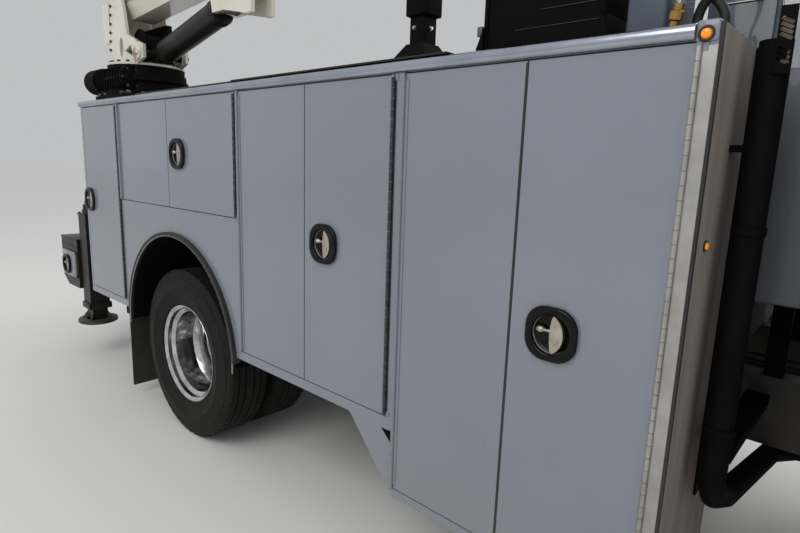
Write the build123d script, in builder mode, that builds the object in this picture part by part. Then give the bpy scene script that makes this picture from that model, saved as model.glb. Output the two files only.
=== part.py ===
"""Service truck with a telescopic crane on its rear right corner.

Frame: X forward, Y to the left, Z up, origin on the ground below the middle of the truck.
Lengths along the truck are counted forward from the rear end of the service body (body_rear).
"""
from build123d import *
import os
from math import cos, radians, sin, sqrt, tan

os.makedirs("parts", exist_ok=True)

# Driving dimensions of the service body
body_length = 4100
body_width = 2440
body_top = 2060
body_bottom = 682
front_bottom = 402
pack_depth = 560
pack_wall = 20
floor_top = 1160
floor_thickness = 60
bulkhead_height = 420
trim_height = 38
sill_height = 45
front_sill = 35
arch_radius = 655
arch_centre_z = 615

# Seams of the side body, counted from its rear end, the front ones back from its front end
rear_corner = 26
front_corner = 40
rear_door_end = 625
over_wheel_start = 650
over_wheel_seam = 1316
over_wheel_end = 2030
middle_start = 2054
front_start = body_length - 979
front_seam = front_start + 482
middle_end = front_start - 44
middle_seam = (middle_start + middle_end) / 2
slope_front = front_start
slope_rear = front_start - 251

# Doors of the service body
door_thickness = 20
door_gap = 5
hinge_radius = 6
hinge_pin = 3
hinge_ear = 20
hinge_stub = 12
latch_size = 165
latch_dish = 12
latch_rim = 5

# Driving dimensions of the chassis
bench_overhang = 981
cab_gap = 300
bumper_to_cab_back = 2700
rear_axle_x = 1350
front_axle_setback = 1024
rail_spread = 864
rail_height = 254
rail_flange = 89
rail_web = 10
rail_top = 1010
crossmember_depth = 180

# Wheels
tyre_radius = 520
tyre_width = 279
rim_seat_radius = 286
rim_flange_radius = 299
rim_width = 210
dual_outer_y = 1055
dual_inner_y = 737
front_wheel_y = 1040
dual_middle_y = (dual_outer_y + dual_inner_y) / 2
kingpin_y = 862
axle_clearance = 0.05

# Cab
cab_width = 2100
cab_wall = 40
cab_floor = 1080
cab_roof = 2580
cab_door_rear = 130
cab_door_front = 1180
hood_width = 2380

# Crane
crane_x = 500
crane_y = -950
base_radius = 240
base_top = 2290
turret_half_width = 150
turret_plate = 20
boom_pivot_x = 390
boom_pivot_z = 2760
boom_slope = 4.0
boom_length = 2900
boom_height = 270
boom_width = 220
boom_flat = 150
boom_wall = 10
stage_gap = 5
lift_lower_x = 720
lift_lower_z = 2345
lift_upper_x = 1560
lift_upper_z = 2530
barrel_radius = 70
rod_radius = 32
pin_radius = 25

overall_length = bench_overhang + body_length + cab_gap + bumper_to_cab_back
body_rear = -overall_length / 2 + bench_overhang
body_front = body_rear + body_length
side_y = body_width / 2
cab_back = body_front + cab_gap
rear_axle = body_rear + rear_axle_x
bumper_front = cab_back + bumper_to_cab_back
front_axle = bumper_front - front_axle_setback
rail_outer = rail_spread / 2


def save(part, name):
    """Label one finished piece and write its file."""
    part.label = name
    export_step(part, f"parts/{name}.step")


def save_pair(part, name):
    """Write a right-hand piece and its mirror on the left."""
    save(part, f"{name}_right")
    save(mirror(part, about=Plane.XZ), f"{name}_left")


# Propeller shaft line, from the rear axle's pinion up to the gearbox
engine_rear = front_axle - 260
gearbox_length = 720
shaft_rear_z = 560
shaft_front_z = 900
pinion_reach = 330
shaft_rear_x = rear_axle + pinion_reach
shaft_run = engine_rear - gearbox_length - shaft_rear_x
shaft_rise = shaft_front_z - shaft_rear_z
shaft_hole = 100

# Chassis frame: two channel rails and their crossmembers
hood_pivot = cab_back + 2560
hood_pivot_z = 860
hood_hinge_y = 300
hood_pin = 15
rail_rear = body_rear - 60
rail_front = bumper_front - 190
crossmembers = [rail_rear + 120, rear_axle - 620, rear_axle + 620, rear_axle + 1500, cab_back + 60]
with BuildPart() as chassis_frame:
    with BuildSketch(Plane.YZ.offset(rail_rear)):
        for side in (-1, 1):
            with Locations((side * (rail_outer - rail_flange / 2), rail_top - rail_height / 2)):
                Rectangle(rail_flange, rail_height)
            with Locations((side * (rail_outer - rail_web - rail_flange / 2), rail_top - rail_height / 2)):
                Rectangle(rail_flange, rail_height - 2 * rail_web, mode=Mode.SUBTRACT)
    extrude(amount=rail_front - rail_rear)
    for cross_x in crossmembers:
        with BuildSketch(Plane.YZ.offset(cross_x)):
            with Locations((0, rail_top - rail_height / 2)):
                Rectangle(rail_spread - 2 * rail_web, crossmember_depth)
            if cross_x > shaft_rear_x:
                with Locations((0, shaft_rear_z + shaft_rise * (cross_x - shaft_rear_x) / shaft_run)):
                    Circle(shaft_hole, mode=Mode.SUBTRACT)
        extrude(amount=rail_web)
    with BuildSketch(Plane.YZ.offset(rail_front)):
        with Locations((0, rail_top - rail_height / 2)):
            Rectangle(rail_spread, rail_height)
    extrude(amount=-rail_web)
    for side in (-1, 1):
        with BuildSketch(Plane.XZ.offset(-side * hood_hinge_y - 8)):
            with Locations(((rail_front + hood_pivot + 20) / 2, hood_pivot_z)):
                Rectangle(hood_pivot + 20 - rail_front, 56)
        extrude(amount=16)
        with BuildSketch(Plane.XZ.offset(-side * (hood_hinge_y + 18) - 26)):
            with Locations((hood_pivot, hood_pivot_z)):
                Circle(hood_pin)
        extrude(amount=52)
save(chassis_frame.part, "chassis_frame")

# Engine block, gearbox and propeller shaft down to the rear axle
engine_length = 1000
engine_width = 560
engine_bottom = 720
engine_top = 1400
gearbox_radius = 165
shaft_radius = 45
yoke_length = 60
with BuildPart() as powertrain:
    with BuildSketch(Plane.YZ.offset(engine_rear)):
        with Locations((0, (engine_bottom + engine_top) / 2)):
            Rectangle(engine_width, engine_top - engine_bottom)
    extrude(amount=engine_length)
    with BuildSketch(Plane.YZ.offset(engine_rear)):
        with Locations((0, shaft_front_z)):
            Circle(gearbox_radius)
    extrude(amount=-gearbox_length, taper=6)
    with BuildSketch(Plane.YZ.offset(shaft_rear_x)):
        with Locations((0, shaft_rear_z)):
            Circle(shaft_radius + 10)
    extrude(amount=yoke_length)
    with BuildSketch(Plane((shaft_rear_x + 30, 0, shaft_rear_z), z_dir=(shaft_run, 0, shaft_rise))):
        Circle(shaft_radius)
    extrude(amount=sqrt(shaft_run**2 + shaft_rise**2))
save(powertrain.part, "powertrain")

# Axles with their leaf springs: a round rear housing and a dropped front beam
spring_y = rail_outer + 2
spring_width = 76
axle_tube_radius = 62
bowl_radius = 210
rear_spring_half = 640
spring_leaf = 70
rear_hub_y = dual_middle_y + 60
front_beam_half = kingpin_y - 30
kingpin_radius = 22
kingpin_boss = 46
kingpin_boss_height = 100
front_beam_height = 110
front_beam_width = 90
front_spring_half = 560
with BuildPart() as axles:
    with BuildSketch(Plane.XZ.offset(-rear_hub_y)):
        with Locations((rear_axle, tyre_radius)):
            Circle(axle_tube_radius)
    extrude(amount=2 * rear_hub_y)
    with Locations((rear_axle, 0, tyre_radius)):
        Sphere(bowl_radius)
    with BuildSketch(Plane.YZ.offset(rear_axle)):
        with Locations((0, tyre_radius + 20)):
            Circle(95)
    extrude(amount=pinion_reach - 0.3)
    for side in (-1, 1):
        inner = side * (spring_y - spring_width / 2 - 45)
        with BuildSketch(Plane.XZ.offset(-inner - spring_width / 2)):
            with BuildLine():
                Polyline(
                    (rear_axle - rear_spring_half, rail_top - rail_height - 60),
                    (rear_axle, tyre_radius + axle_tube_radius - 5),
                    (rear_axle + rear_spring_half, rail_top - rail_height - 60),
                    (rear_axle + rear_spring_half, rail_top - rail_height - 20),
                    (rear_axle, tyre_radius + axle_tube_radius + spring_leaf),
                    (rear_axle - rear_spring_half, rail_top - rail_height - 20),
                    close=True,
                )
            make_face()
        extrude(amount=spring_width)
        for end in (-1, 1):
            with Locations((rear_axle + end * (rear_spring_half - 20), inner, rail_top - rail_height - 30)):
                Box(60, spring_width, 60)
    with BuildSketch(Plane.XZ.offset(-front_beam_half)):
        with Locations((front_axle, tyre_radius - 20)):
            Rectangle(front_beam_width - 20, 60)
    extrude(amount=2 * front_beam_half)
    with BuildSketch(Plane.XZ.offset(-front_beam_half + 150)):
        with Locations((front_axle, tyre_radius - 40)):
            Rectangle(front_beam_width, front_beam_height)
    extrude(amount=2 * front_beam_half - 300)
    for side in (-1, 1):
        with Locations((front_axle, side * kingpin_y, tyre_radius)):
            Cylinder(kingpin_boss, kingpin_boss_height)
            Cylinder(kingpin_radius + axle_clearance, kingpin_boss_height, mode=Mode.SUBTRACT)
    for side in (-1, 1):
        inner = side * (spring_y - spring_width / 2 - 45)
        with BuildSketch(Plane.XZ.offset(-inner - spring_width / 2)):
            with BuildLine():
                Polyline(
                    (front_axle - front_spring_half, rail_top - rail_height - 70),
                    (front_axle, tyre_radius + 10),
                    (front_axle + front_spring_half, rail_top - rail_height - 70),
                    (front_axle + front_spring_half, rail_top - rail_height - 25),
                    (front_axle, tyre_radius + 60),
                    (front_axle - front_spring_half, rail_top - rail_height - 25),
                    close=True,
                )
            make_face()
        extrude(amount=spring_width)
        for end in (-1, 1):
            with Locations((front_axle + end * (front_spring_half - 20), inner, rail_top - rail_height - 30)):
                Box(60, spring_width, 60)
save(axles.part, "axles")

# Steering knuckles, each with its kingpin boss and its spindle
knuckle_height = 210
fork_gap = 0.5
fork_height = (knuckle_height - kingpin_boss_height) / 2 - fork_gap
spindle_radius = 40
spindle_end = front_wheel_y + 100
with BuildPart() as knuckle:
    with Locations((front_axle, -kingpin_y, tyre_radius)):
        Cylinder(kingpin_radius, knuckle_height)
    for end in (-1, 1):
        with Locations((front_axle, -kingpin_y, tyre_radius + end * (knuckle_height - fork_height) / 2)):
            Cylinder(kingpin_boss, fork_height)
            with Locations((0, -40, 0)):
                Box(2 * kingpin_boss, 50, fork_height)
    with BuildSketch(Plane.XZ.offset(kingpin_y + kingpin_boss + 8)):
        with Locations((front_axle, tyre_radius)):
            Rectangle(2 * kingpin_boss, knuckle_height)
    extrude(amount=22)
    with BuildSketch(Plane.XZ.offset(kingpin_y + kingpin_boss + 8)):
        with Locations((front_axle, tyre_radius)):
            Circle(spindle_radius)
    extrude(amount=spindle_end - kingpin_y - kingpin_boss - 8)
    with BuildSketch(Plane.XY.offset(tyre_radius - knuckle_height / 2)):
        with Locations((front_axle - 110, -kingpin_y)):
            Rectangle(200, 50)
    extrude(amount=30)
save_pair(knuckle.part, "knuckle")

# Tyres: one section revolved about each wheel's axis, twins at the rear
tread_half = 108
side_half = tyre_width / 2
bead_half = rim_width / 2 - 4
bead_radius = rim_seat_radius + 1
shoulder_radius = tyre_radius - 30


def tyre_at(wheel_x, wheel_y):
    """Revolve one tyre about the line through its wheel's centre."""
    with BuildPart() as tyre:
        with BuildSketch(Plane((wheel_x, wheel_y, tyre_radius), x_dir=(0, 1, 0), z_dir=(1, 0, 0))):
            with BuildLine():
                Polyline((-bead_half, bead_radius), (-bead_half, bead_radius + 18))
                ThreePointArc(
                    (-bead_half, bead_radius + 18),
                    (-side_half, bead_radius + 110),
                    (-tread_half - 16, shoulder_radius),
                )
                Line((-tread_half - 16, shoulder_radius), (-tread_half, tyre_radius - 6))
                ThreePointArc((-tread_half, tyre_radius - 6), (0, tyre_radius), (tread_half, tyre_radius - 6))
                Line((tread_half, tyre_radius - 6), (tread_half + 16, shoulder_radius))
                ThreePointArc(
                    (tread_half + 16, shoulder_radius),
                    (side_half, bead_radius + 110),
                    (bead_half, bead_radius + 18),
                )
                Polyline((bead_half, bead_radius + 18), (bead_half, bead_radius))
                Line((bead_half, bead_radius), (-bead_half, bead_radius))
            make_face()
        revolve(axis=Axis((wheel_x, wheel_y, tyre_radius), (0, 1, 0)))
    return tyre.part


# Rims: a barrel with two flanges and a disc that bolts to the hub outside the barrel
barrel_wall = 10
disc_radius = 225
disc_thickness = 14
disc_offset = (dual_outer_y - dual_inner_y) / 2
face_gap = 0.15
cap_wall = 15


def rim_at(wheel_x, wheel_y, disc_side, hub_radius, hub_in, hub_out, bore, blind):
    """Revolve one rim; disc_side is 1 where the disc stands outboard and -1 where it stands inboard."""
    outward = 1 if wheel_y > 0 else -1
    inner_wall = rim_seat_radius - barrel_wall
    face = disc_side * (disc_offset - face_gap)
    back = face - disc_side * disc_thickness
    root = disc_side * (rim_width / 2 - 8)
    low = min(face, back) - hub_in
    high = max(face, back) + hub_out
    with BuildPart() as rim:
        section = Plane((wheel_x, wheel_y, tyre_radius), x_dir=(0, outward, 0), z_dir=(outward, 0, 0))
        with BuildSketch(section):
            with BuildLine():
                Polyline(
                    (-rim_width / 2 - 8, rim_flange_radius),
                    (-rim_width / 2, rim_flange_radius),
                    (-rim_width / 2 + 4, rim_seat_radius),
                    (rim_width / 2 - 4, rim_seat_radius),
                    (rim_width / 2, rim_flange_radius),
                    (rim_width / 2 + 8, rim_flange_radius),
                    (rim_width / 2 + 4, inner_wall),
                    (-rim_width / 2 - 4, inner_wall),
                    close=True,
                )
            make_face()
            with BuildLine():
                Polyline(
                    (root, inner_wall + 2),
                    (face, disc_radius),
                    (face, bore),
                    (back, bore),
                    (back, disc_radius - 6),
                    (root - disc_side * disc_thickness * 1.6, inner_wall + 2),
                    close=True,
                )
            make_face()
            with BuildLine():
                if blind:
                    Polyline(
                        (high, 0),
                        (high, hub_radius - 25),
                        (high - 15, hub_radius),
                        (low, hub_radius),
                        (low, bore),
                        (high - cap_wall, bore),
                        (high - cap_wall, 0),
                        close=True,
                    )
                else:
                    Polyline((low, bore), (low, hub_radius), (high, hub_radius), (high, bore), close=True)
            make_face()
        revolve(axis=Axis((wheel_x, wheel_y, tyre_radius), (0, 1, 0)))
    return rim.part


rear_bore = axle_tube_radius + axle_clearance
front_bore = spindle_radius + axle_clearance
for side, word in ((-1, "right"), (1, "left")):
    outer_tyre = tyre_at(rear_axle, side * dual_outer_y)
    inner_tyre = tyre_at(rear_axle, side * dual_inner_y)
    save(Part() + [outer_tyre, inner_tyre], f"rear_tyres_{word}")
    outer_rim = rim_at(rear_axle, side * dual_outer_y, -1, 105, 0, 90, rear_bore, True)
    inner_rim = rim_at(rear_axle, side * dual_inner_y, 1, 105, 60, 0, rear_bore, False)
    save(Part() + [outer_rim, inner_rim], f"rear_rims_{word}")
    save(tyre_at(front_axle, side * front_wheel_y), f"front_tyre_{word}")
    save(rim_at(front_axle, side * front_wheel_y, 1, 95, 160, 22, front_bore, True), f"front_rim_{word}")

# Side packs of the service body. Compartments: rear edge, front edge, bottom, all from body_rear
door_top = body_top - trim_height
mid_bottom = body_bottom + sill_height
arch_top = arch_centre_z + arch_radius
over_wheel_bottom = 1412
compartments = [
    ("rear", rear_corner, rear_door_end, mid_bottom),
    ("over_wheel", over_wheel_start, over_wheel_end, over_wheel_bottom),
    ("middle", middle_start, middle_end, mid_bottom),
    ("front", front_start, body_length - front_corner, front_bottom + front_sill),
]
# Doors: name, rear edge, front edge, bottom, hinge edge, latch centre along and up
# The two doors of a pair meet with a 6 mm seam
meet = door_gap - 3
body_end = body_length - front_corner
latch_over_wheel = over_wheel_seam + 131
front_low = front_bottom + front_sill
doors = [
    ("rear", rear_corner, rear_door_end, mid_bottom, "front", rear_corner + 66, 1376),
    ("over_wheel_rear", over_wheel_start, over_wheel_seam + meet, over_wheel_bottom, "rear", 0, 0),
    ("over_wheel_front", over_wheel_seam - meet, over_wheel_end, over_wheel_bottom, "front",
     latch_over_wheel, 1719),
    ("middle_rear", middle_start, middle_seam + meet, mid_bottom, "rear", 0, 0),
    ("middle_front", middle_seam - meet, middle_end, mid_bottom, "front", middle_seam + 135, 1370),
    ("front_rear", front_start, front_seam + meet, front_low, "rear", 0, 0),
    ("front_front", front_seam - meet, body_end, front_low, "front", front_seam + 145, 1228),
]
hinge_y = side_y + hinge_radius


def hinge_x(low_x, high_x, edge):
    """Distance along the truck of a door's hinge line, in the middle of its seam."""
    return body_rear + (high_x - door_gap / 2 if edge == "front" else low_x + door_gap / 2)


with BuildPart() as body_pack:
    with BuildSketch(Plane.XZ.offset(side_y - pack_depth)):
        with BuildLine():
            Polyline(
                (body_rear, body_bottom),
                (body_rear, body_top),
                (body_front, body_top),
                (body_front, front_bottom),
                (body_rear + slope_front, front_bottom),
                (body_rear + slope_rear, body_bottom),
                close=True,
            )
        make_face()
        with Locations((rear_axle, arch_centre_z)):
            Circle(arch_radius, mode=Mode.SUBTRACT)
        with Locations((rear_axle, body_bottom)):
            Rectangle(2 * (arch_radius - 4), 60, mode=Mode.SUBTRACT)
    extrude(amount=pack_depth)
    for name, low_x, high_x, low_z in compartments:
        with BuildSketch(Plane.XZ.offset(side_y)):
            with Locations((body_rear + (low_x + high_x) / 2, (low_z + door_top) / 2)):
                Rectangle(high_x - low_x, door_top - low_z)
        extrude(amount=-door_thickness - door_gap, mode=Mode.SUBTRACT)
        inset = 30
        with BuildSketch(Plane.XZ.offset(side_y)):
            with BuildLine():
                Polyline(
                    (body_rear + low_x + inset, low_z + inset),
                    (body_rear + low_x + inset, door_top - inset),
                    (body_rear + high_x - inset, door_top - inset),
                    (body_rear + high_x - inset, low_z + inset),
                    close=True,
                )
            make_face()
            with Locations((rear_axle, arch_centre_z)):
                Circle(arch_radius + pack_wall, mode=Mode.SUBTRACT)
        extrude(amount=-(pack_depth - pack_wall), mode=Mode.SUBTRACT)
    for name, low_x, high_x, low_z, edge, latch_x, latch_z in doors:
        line_x = hinge_x(low_x, high_x, edge)
        away = 1 if edge == "front" else -1
        for base_z, stub in ((low_z + door_gap, 1), (door_top - door_gap - hinge_ear, -1)):
            with Locations((line_x, -hinge_y, base_z + hinge_ear / 2)):
                Cylinder(hinge_radius, hinge_ear)
                with Locations((0, 0, stub * (hinge_ear + hinge_stub) / 2)):
                    Cylinder(hinge_pin, hinge_stub)
                with Locations((away * 10, hinge_radius - 1.5 + 0.5, 0)):
                    Box(20, 4, hinge_ear)
save_pair(body_pack.part, "body_pack")

for name, low_x, high_x, low_z, edge, latch_x, latch_z in doors:
    tube_low = low_z + door_gap + hinge_ear + 0.3
    tube_high = door_top - door_gap - hinge_ear - 0.3
    with BuildPart() as door:
        with BuildSketch(Plane.XZ.offset(side_y)):
            with Locations((body_rear + (low_x + high_x) / 2, (low_z + door_top) / 2)):
                Rectangle(high_x - low_x - 2 * door_gap, door_top - low_z - 2 * door_gap)
        extrude(amount=-door_thickness)
        if latch_x:
            with BuildSketch(Plane.XZ.offset(side_y)):
                with Locations((body_rear + latch_x, latch_z)):
                    RectangleRounded(latch_size, latch_size, latch_size / 3.2)
            extrude(amount=latch_rim)
            with BuildSketch(Plane.XZ.offset(side_y + latch_rim)):
                with Locations((body_rear + latch_x, latch_z)):
                    Circle(latch_size / 2 - 22)
            extrude(amount=-latch_dish, taper=20, mode=Mode.SUBTRACT)
            with BuildSketch(Plane.XZ.offset(side_y + latch_rim - latch_dish)):
                with Locations((body_rear + latch_x + 8, latch_z)):
                    Ellipse(15, 46)
            extrude(amount=latch_dish)
        with BuildSketch(Plane.XY.offset(tube_low)):
            with Locations((hinge_x(low_x, high_x, edge), -hinge_y)):
                Circle(hinge_radius)
            with Locations((hinge_x(low_x, high_x, edge) - (10 if edge == "front" else -10), -side_y - 1.5)):
                Rectangle(20, 3)
        extrude(amount=tube_high - tube_low)
        for end_z in (tube_low, tube_high):
            with Locations((hinge_x(low_x, high_x, edge), -hinge_y, end_z)):
                Cylinder(hinge_pin + axle_clearance, 2 * hinge_stub, mode=Mode.SUBTRACT)
    save_pair(door.part, f"door_{name}")

# Bed floor between the packs, with its front bulkhead
floor_half = side_y - pack_depth
subframe_height = floor_top - floor_thickness - rail_top
tailgate_tube = 8
tailgate_ear = 30
tailgate_ear_y = floor_half - 40
tailgate_axis_x = body_rear - 10
tailgate_axis_z = floor_top - 2
with BuildPart() as bed_floor:
    with BuildSketch(Plane.XY.offset(floor_top - floor_thickness)):
        with Locations((body_rear + body_length / 2, 0)):
            Rectangle(body_length, 2 * floor_half)
    extrude(amount=floor_thickness)
    with BuildSketch(Plane.YZ.offset(body_front)):
        with Locations((0, floor_top + bulkhead_height / 2)):
            Rectangle(2 * floor_half, bulkhead_height)
    extrude(amount=-pack_wall)
    for side in (-1, 1):
        with BuildSketch(Plane.XY.offset(rail_top)):
            with Locations((body_rear + body_length / 2, side * (rail_outer - rail_flange / 2))):
                Rectangle(body_length - 80, rail_flange)
        extrude(amount=subframe_height)
    for side in (-1, 1):
        with BuildSketch(Plane.XZ.offset(-side * tailgate_ear_y - tailgate_ear / 2)):
            with Locations((tailgate_axis_x, tailgate_axis_z)):
                Circle(tailgate_tube)
            with Locations(((tailgate_axis_x + body_rear) / 2 + 1, tailgate_axis_z - tailgate_tube / 2)):
                Rectangle(body_rear - tailgate_axis_x + 2, tailgate_tube)
        extrude(amount=tailgate_ear)
        with BuildSketch(Plane.XZ.offset(-side * (tailgate_ear_y - tailgate_ear / 2 - 10) - 14)):
            with Locations((tailgate_axis_x, tailgate_axis_z)):
                Circle(hinge_pin)
        extrude(amount=28)
save(bed_floor.part, "bed_floor")

# Rubber at the rear wheels: the flare round each arch and the flap behind the twins
flare_width = 40
flare_reach = 22
flap_x = 560
flap_low = 80
flap_high = 640
flap_thickness = 10
flap_width = 2 * side_half + dual_outer_y - dual_inner_y
with BuildPart() as flare:
    with BuildSketch(Plane.XZ.offset(side_y - pack_wall)):
        with Locations((rear_axle, arch_centre_z)):
            Circle(arch_radius - 0.3)
            Circle(arch_radius - flare_width / 2, mode=Mode.SUBTRACT)
        with Locations((rear_axle, arch_centre_z + 35 - arch_radius)):
            Rectangle(2 * arch_radius + 20, 2 * arch_radius, mode=Mode.SUBTRACT)
    extrude(amount=pack_wall + flare_reach)
    with BuildSketch(Plane.YZ.offset(body_rear + flap_x)):
        with Locations((-(dual_outer_y + dual_inner_y) / 2, (flap_low + flap_high) / 2)):
            Rectangle(flap_width - 20, flap_high - flap_low)
    extrude(amount=flap_thickness)
    with BuildSketch(Plane.XZ.offset(rail_outer + 0.3)):
        with Locations((body_rear + flap_x - 12, flap_high - 30)):
            Rectangle(24, 50)
    extrude(amount=dual_outer_y - rail_outer + 60)
    with BuildSketch(Plane.XZ.offset(rail_outer + 0.3)):
        with Locations((body_rear + flap_x - 12, (flap_high + rail_top) / 2 - 60)):
            Rectangle(60, rail_top - flap_high)
    extrude(amount=20)
arch_rubber = Part() + [flare.part, mirror(flare.part, about=Plane.XZ)]
save(arch_rubber, "arch_rubber")

# Work bench bumper across the rear, hollow for its locker, with a vice on top
bench_half = 1120
bench_top = 893
bench_bottom = 640
bench_depth = 375
bench_lid = 92
vice_x = 180
vice_y = -760
neck_half = 880
bench_rear = body_rear - bench_overhang
bench_door_low = 40
bench_door_high = 345
bench_low_z = bench_bottom + 12 + door_gap
bench_high_z = bench_top - 12 - door_gap
bench_hinge_x = bench_rear + bench_door_high - door_gap / 2
with BuildPart() as bench_bumper:
    with BuildSketch(Plane.XZ.offset(-bench_half)):
        with BuildLine():
            Polyline(
                (bench_rear, bench_bottom),
                (bench_rear, bench_top + bench_lid),
                (bench_rear + bench_depth, bench_top + bench_lid),
                (bench_rear + bench_depth, bench_bottom - 70),
                (bench_rear + 120, bench_bottom - 70),
                close=True,
            )
        make_face()
    extrude(amount=2 * bench_half)
    with BuildSketch(Plane.XZ.offset(-neck_half)):
        with Locations(((bench_rear + bench_depth - 10 + rail_rear - 0.3) / 2, bench_top - 20)):
            Rectangle(rail_rear - 0.3 - bench_rear - bench_depth + 10, 60)
    extrude(amount=2 * neck_half)
    with BuildSketch(Plane.XZ.offset(bench_half)):
        with Locations((bench_rear + (bench_door_low + bench_door_high) / 2, (bench_top + bench_bottom) / 2)):
            Rectangle(bench_door_high - bench_door_low, bench_top - bench_bottom - 24)
    extrude(amount=-500, mode=Mode.SUBTRACT)
    for base_z, stub in ((bench_low_z, 1), (bench_high_z - hinge_ear, -1)):
        with Locations((bench_hinge_x, -bench_half - hinge_radius, base_z + hinge_ear / 2)):
            Cylinder(hinge_radius, hinge_ear)
            with Locations((0, 0, stub * (hinge_ear + hinge_stub) / 2)):
                Cylinder(hinge_pin, hinge_stub)
            with Locations((10, hinge_radius - 1, 0)):
                Box(20, 4, hinge_ear)
    with Locations((bench_rear + vice_x, vice_y, bench_top + bench_lid)):
        Cylinder(70, 50, align=(Align.CENTER, Align.CENTER, Align.MIN))
        with Locations((0, 0, 40)):
            Box(260, 90, 110, align=(Align.CENTER, Align.CENTER, Align.MIN))
save(bench_bumper.part, "bench_bumper")

with BuildPart() as bench_door:
    with BuildSketch(Plane.XZ.offset(bench_half)):
        with Locations((bench_rear + (bench_door_low + bench_door_high) / 2, (bench_top + bench_bottom) / 2)):
            Rectangle(bench_door_high - bench_door_low - 2 * door_gap, bench_high_z - bench_low_z)
    extrude(amount=-door_thickness)
    with BuildSketch(Plane.XY.offset(bench_low_z + hinge_ear + 0.3)):
        with Locations((bench_hinge_x, -bench_half - hinge_radius)):
            Circle(hinge_radius)
        with Locations((bench_hinge_x - 10, -bench_half - 1.5)):
            Rectangle(20, 3)
    extrude(amount=bench_high_z - bench_low_z - 2 * hinge_ear - 0.6)
    for end_z in (bench_low_z + hinge_ear, bench_high_z - hinge_ear):
        with Locations((bench_hinge_x, -bench_half - hinge_radius, end_z)):
            Cylinder(hinge_pin + axle_clearance, 2 * hinge_stub + 1, mode=Mode.SUBTRACT)
save(bench_door.part, "bench_door")

# Outriggers: a cross tube behind the body with a square sleeve at each end, and a leg that drops
outrigger_x = body_rear - 510
sleeve_y = 1025
sleeve_size = 150
sleeve_wall = 10
sleeve_low = 420
sleeve_high = 1200
leg_size = sleeve_size - 2 * sleeve_wall - 10
leg_low = 320
foot_radius = 147
foot_height = 25
with BuildPart() as outrigger_beam:
    with BuildSketch(Plane.XZ.offset(-(sleeve_y - sleeve_size / 2))):
        with Locations((outrigger_x, bench_top - 50.3 - 75)):
            Rectangle(130, 150)
    extrude(amount=2 * (sleeve_y - sleeve_size / 2))
    for side in (-1, 1):
        with BuildSketch(Plane.XY.offset(sleeve_low)):
            with Locations((outrigger_x, side * sleeve_y)):
                Rectangle(sleeve_size, sleeve_size)
                Rectangle(sleeve_size - 2 * sleeve_wall, sleeve_size - 2 * sleeve_wall, mode=Mode.SUBTRACT)
        extrude(amount=sleeve_high - sleeve_low)
save(outrigger_beam.part, "outrigger_beam")

with BuildPart() as outrigger_leg:
    with BuildSketch(Plane.XY.offset(leg_low)):
        with Locations((outrigger_x, -sleeve_y)):
            Rectangle(leg_size, leg_size)
    extrude(amount=sleeve_high - leg_low - 60)
    with BuildSketch(Plane.XY.offset(sleeve_high - 120)):
        with Locations((outrigger_x, -sleeve_y)):
            Rectangle(sleeve_size - 2 * sleeve_wall - 0.6, sleeve_size - 2 * sleeve_wall - 0.6)
    extrude(amount=60)
    with Locations((outrigger_x, -sleeve_y, leg_low - foot_height)):
        Cylinder(foot_radius, foot_height, align=(Align.CENTER, Align.CENTER, Align.MIN))
save_pair(outrigger_leg.part, "outrigger_leg")

# Tailgate between the packs
tailgate_height = 480
with BuildPart() as tailgate:
    with BuildSketch(Plane.YZ.offset(body_rear)):
        with Locations((0, floor_top + door_gap + tailgate_height / 2)):
            Rectangle(2 * floor_half - 20, tailgate_height)
    extrude(amount=40)
    tube_half = tailgate_ear_y - tailgate_ear / 2 - 0.3
    with BuildSketch(Plane.XZ.offset(-tube_half)):
        with Locations((tailgate_axis_x, tailgate_axis_z)):
            Circle(tailgate_tube)
        with Locations((body_rear - 3, tailgate_axis_z + 24)):
            Rectangle(6, 42)
        with Locations((body_rear - 6, tailgate_axis_z + 2)):
            Rectangle(8, 8)
    extrude(amount=2 * tube_half)
    for end in (-1, 1):
        with BuildSketch(Plane.XZ.offset(-end * tube_half - 26)):
            with Locations((tailgate_axis_x, tailgate_axis_z)):
                Circle(hinge_pin + axle_clearance)
        extrude(amount=52, mode=Mode.SUBTRACT)
save(tailgate.part, "tailgate")

# Boom rest: post with gusset foot on the right pack and a flat pad under the boom
rest_x = body_length - 1135
rest_size = 131
rest_gap = 32
boom_base_x = boom_pivot_x + 173
boom_base_z = boom_pivot_z - 171


def underside(x):
    """Height of the boom's underside at a distance along the truck from the body's rear."""
    return boom_base_z + (x - boom_base_x) * tan(radians(boom_slope))


boom_bottom_at_rest = underside(rest_x)
with BuildPart() as boom_rest:
    with BuildSketch(Plane.XY.offset(body_top)):
        with Locations((body_rear + rest_x, crane_y)):
            Rectangle(230, 230)
    extrude(amount=12)
    with BuildSketch(Plane.XY.offset(body_top)):
        with Locations((body_rear + rest_x, crane_y)):
            Rectangle(rest_size, rest_size)
    extrude(amount=boom_bottom_at_rest - body_top - 40)
    with BuildSketch(Plane.XY.offset(body_top + 215)):
        with Locations((body_rear + rest_x, crane_y)):
            Rectangle(rest_size + 20, rest_size + 20)
    extrude(amount=boom_bottom_at_rest - body_top - 215 - 80)
    with BuildSketch(Plane.XY.offset(boom_bottom_at_rest - 60)):
        with Locations((body_rear + rest_x, crane_y)):
            Rectangle(150, 240)
    extrude(amount=60 - rest_gap)
save(boom_rest.part, "boom_rest")

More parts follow.
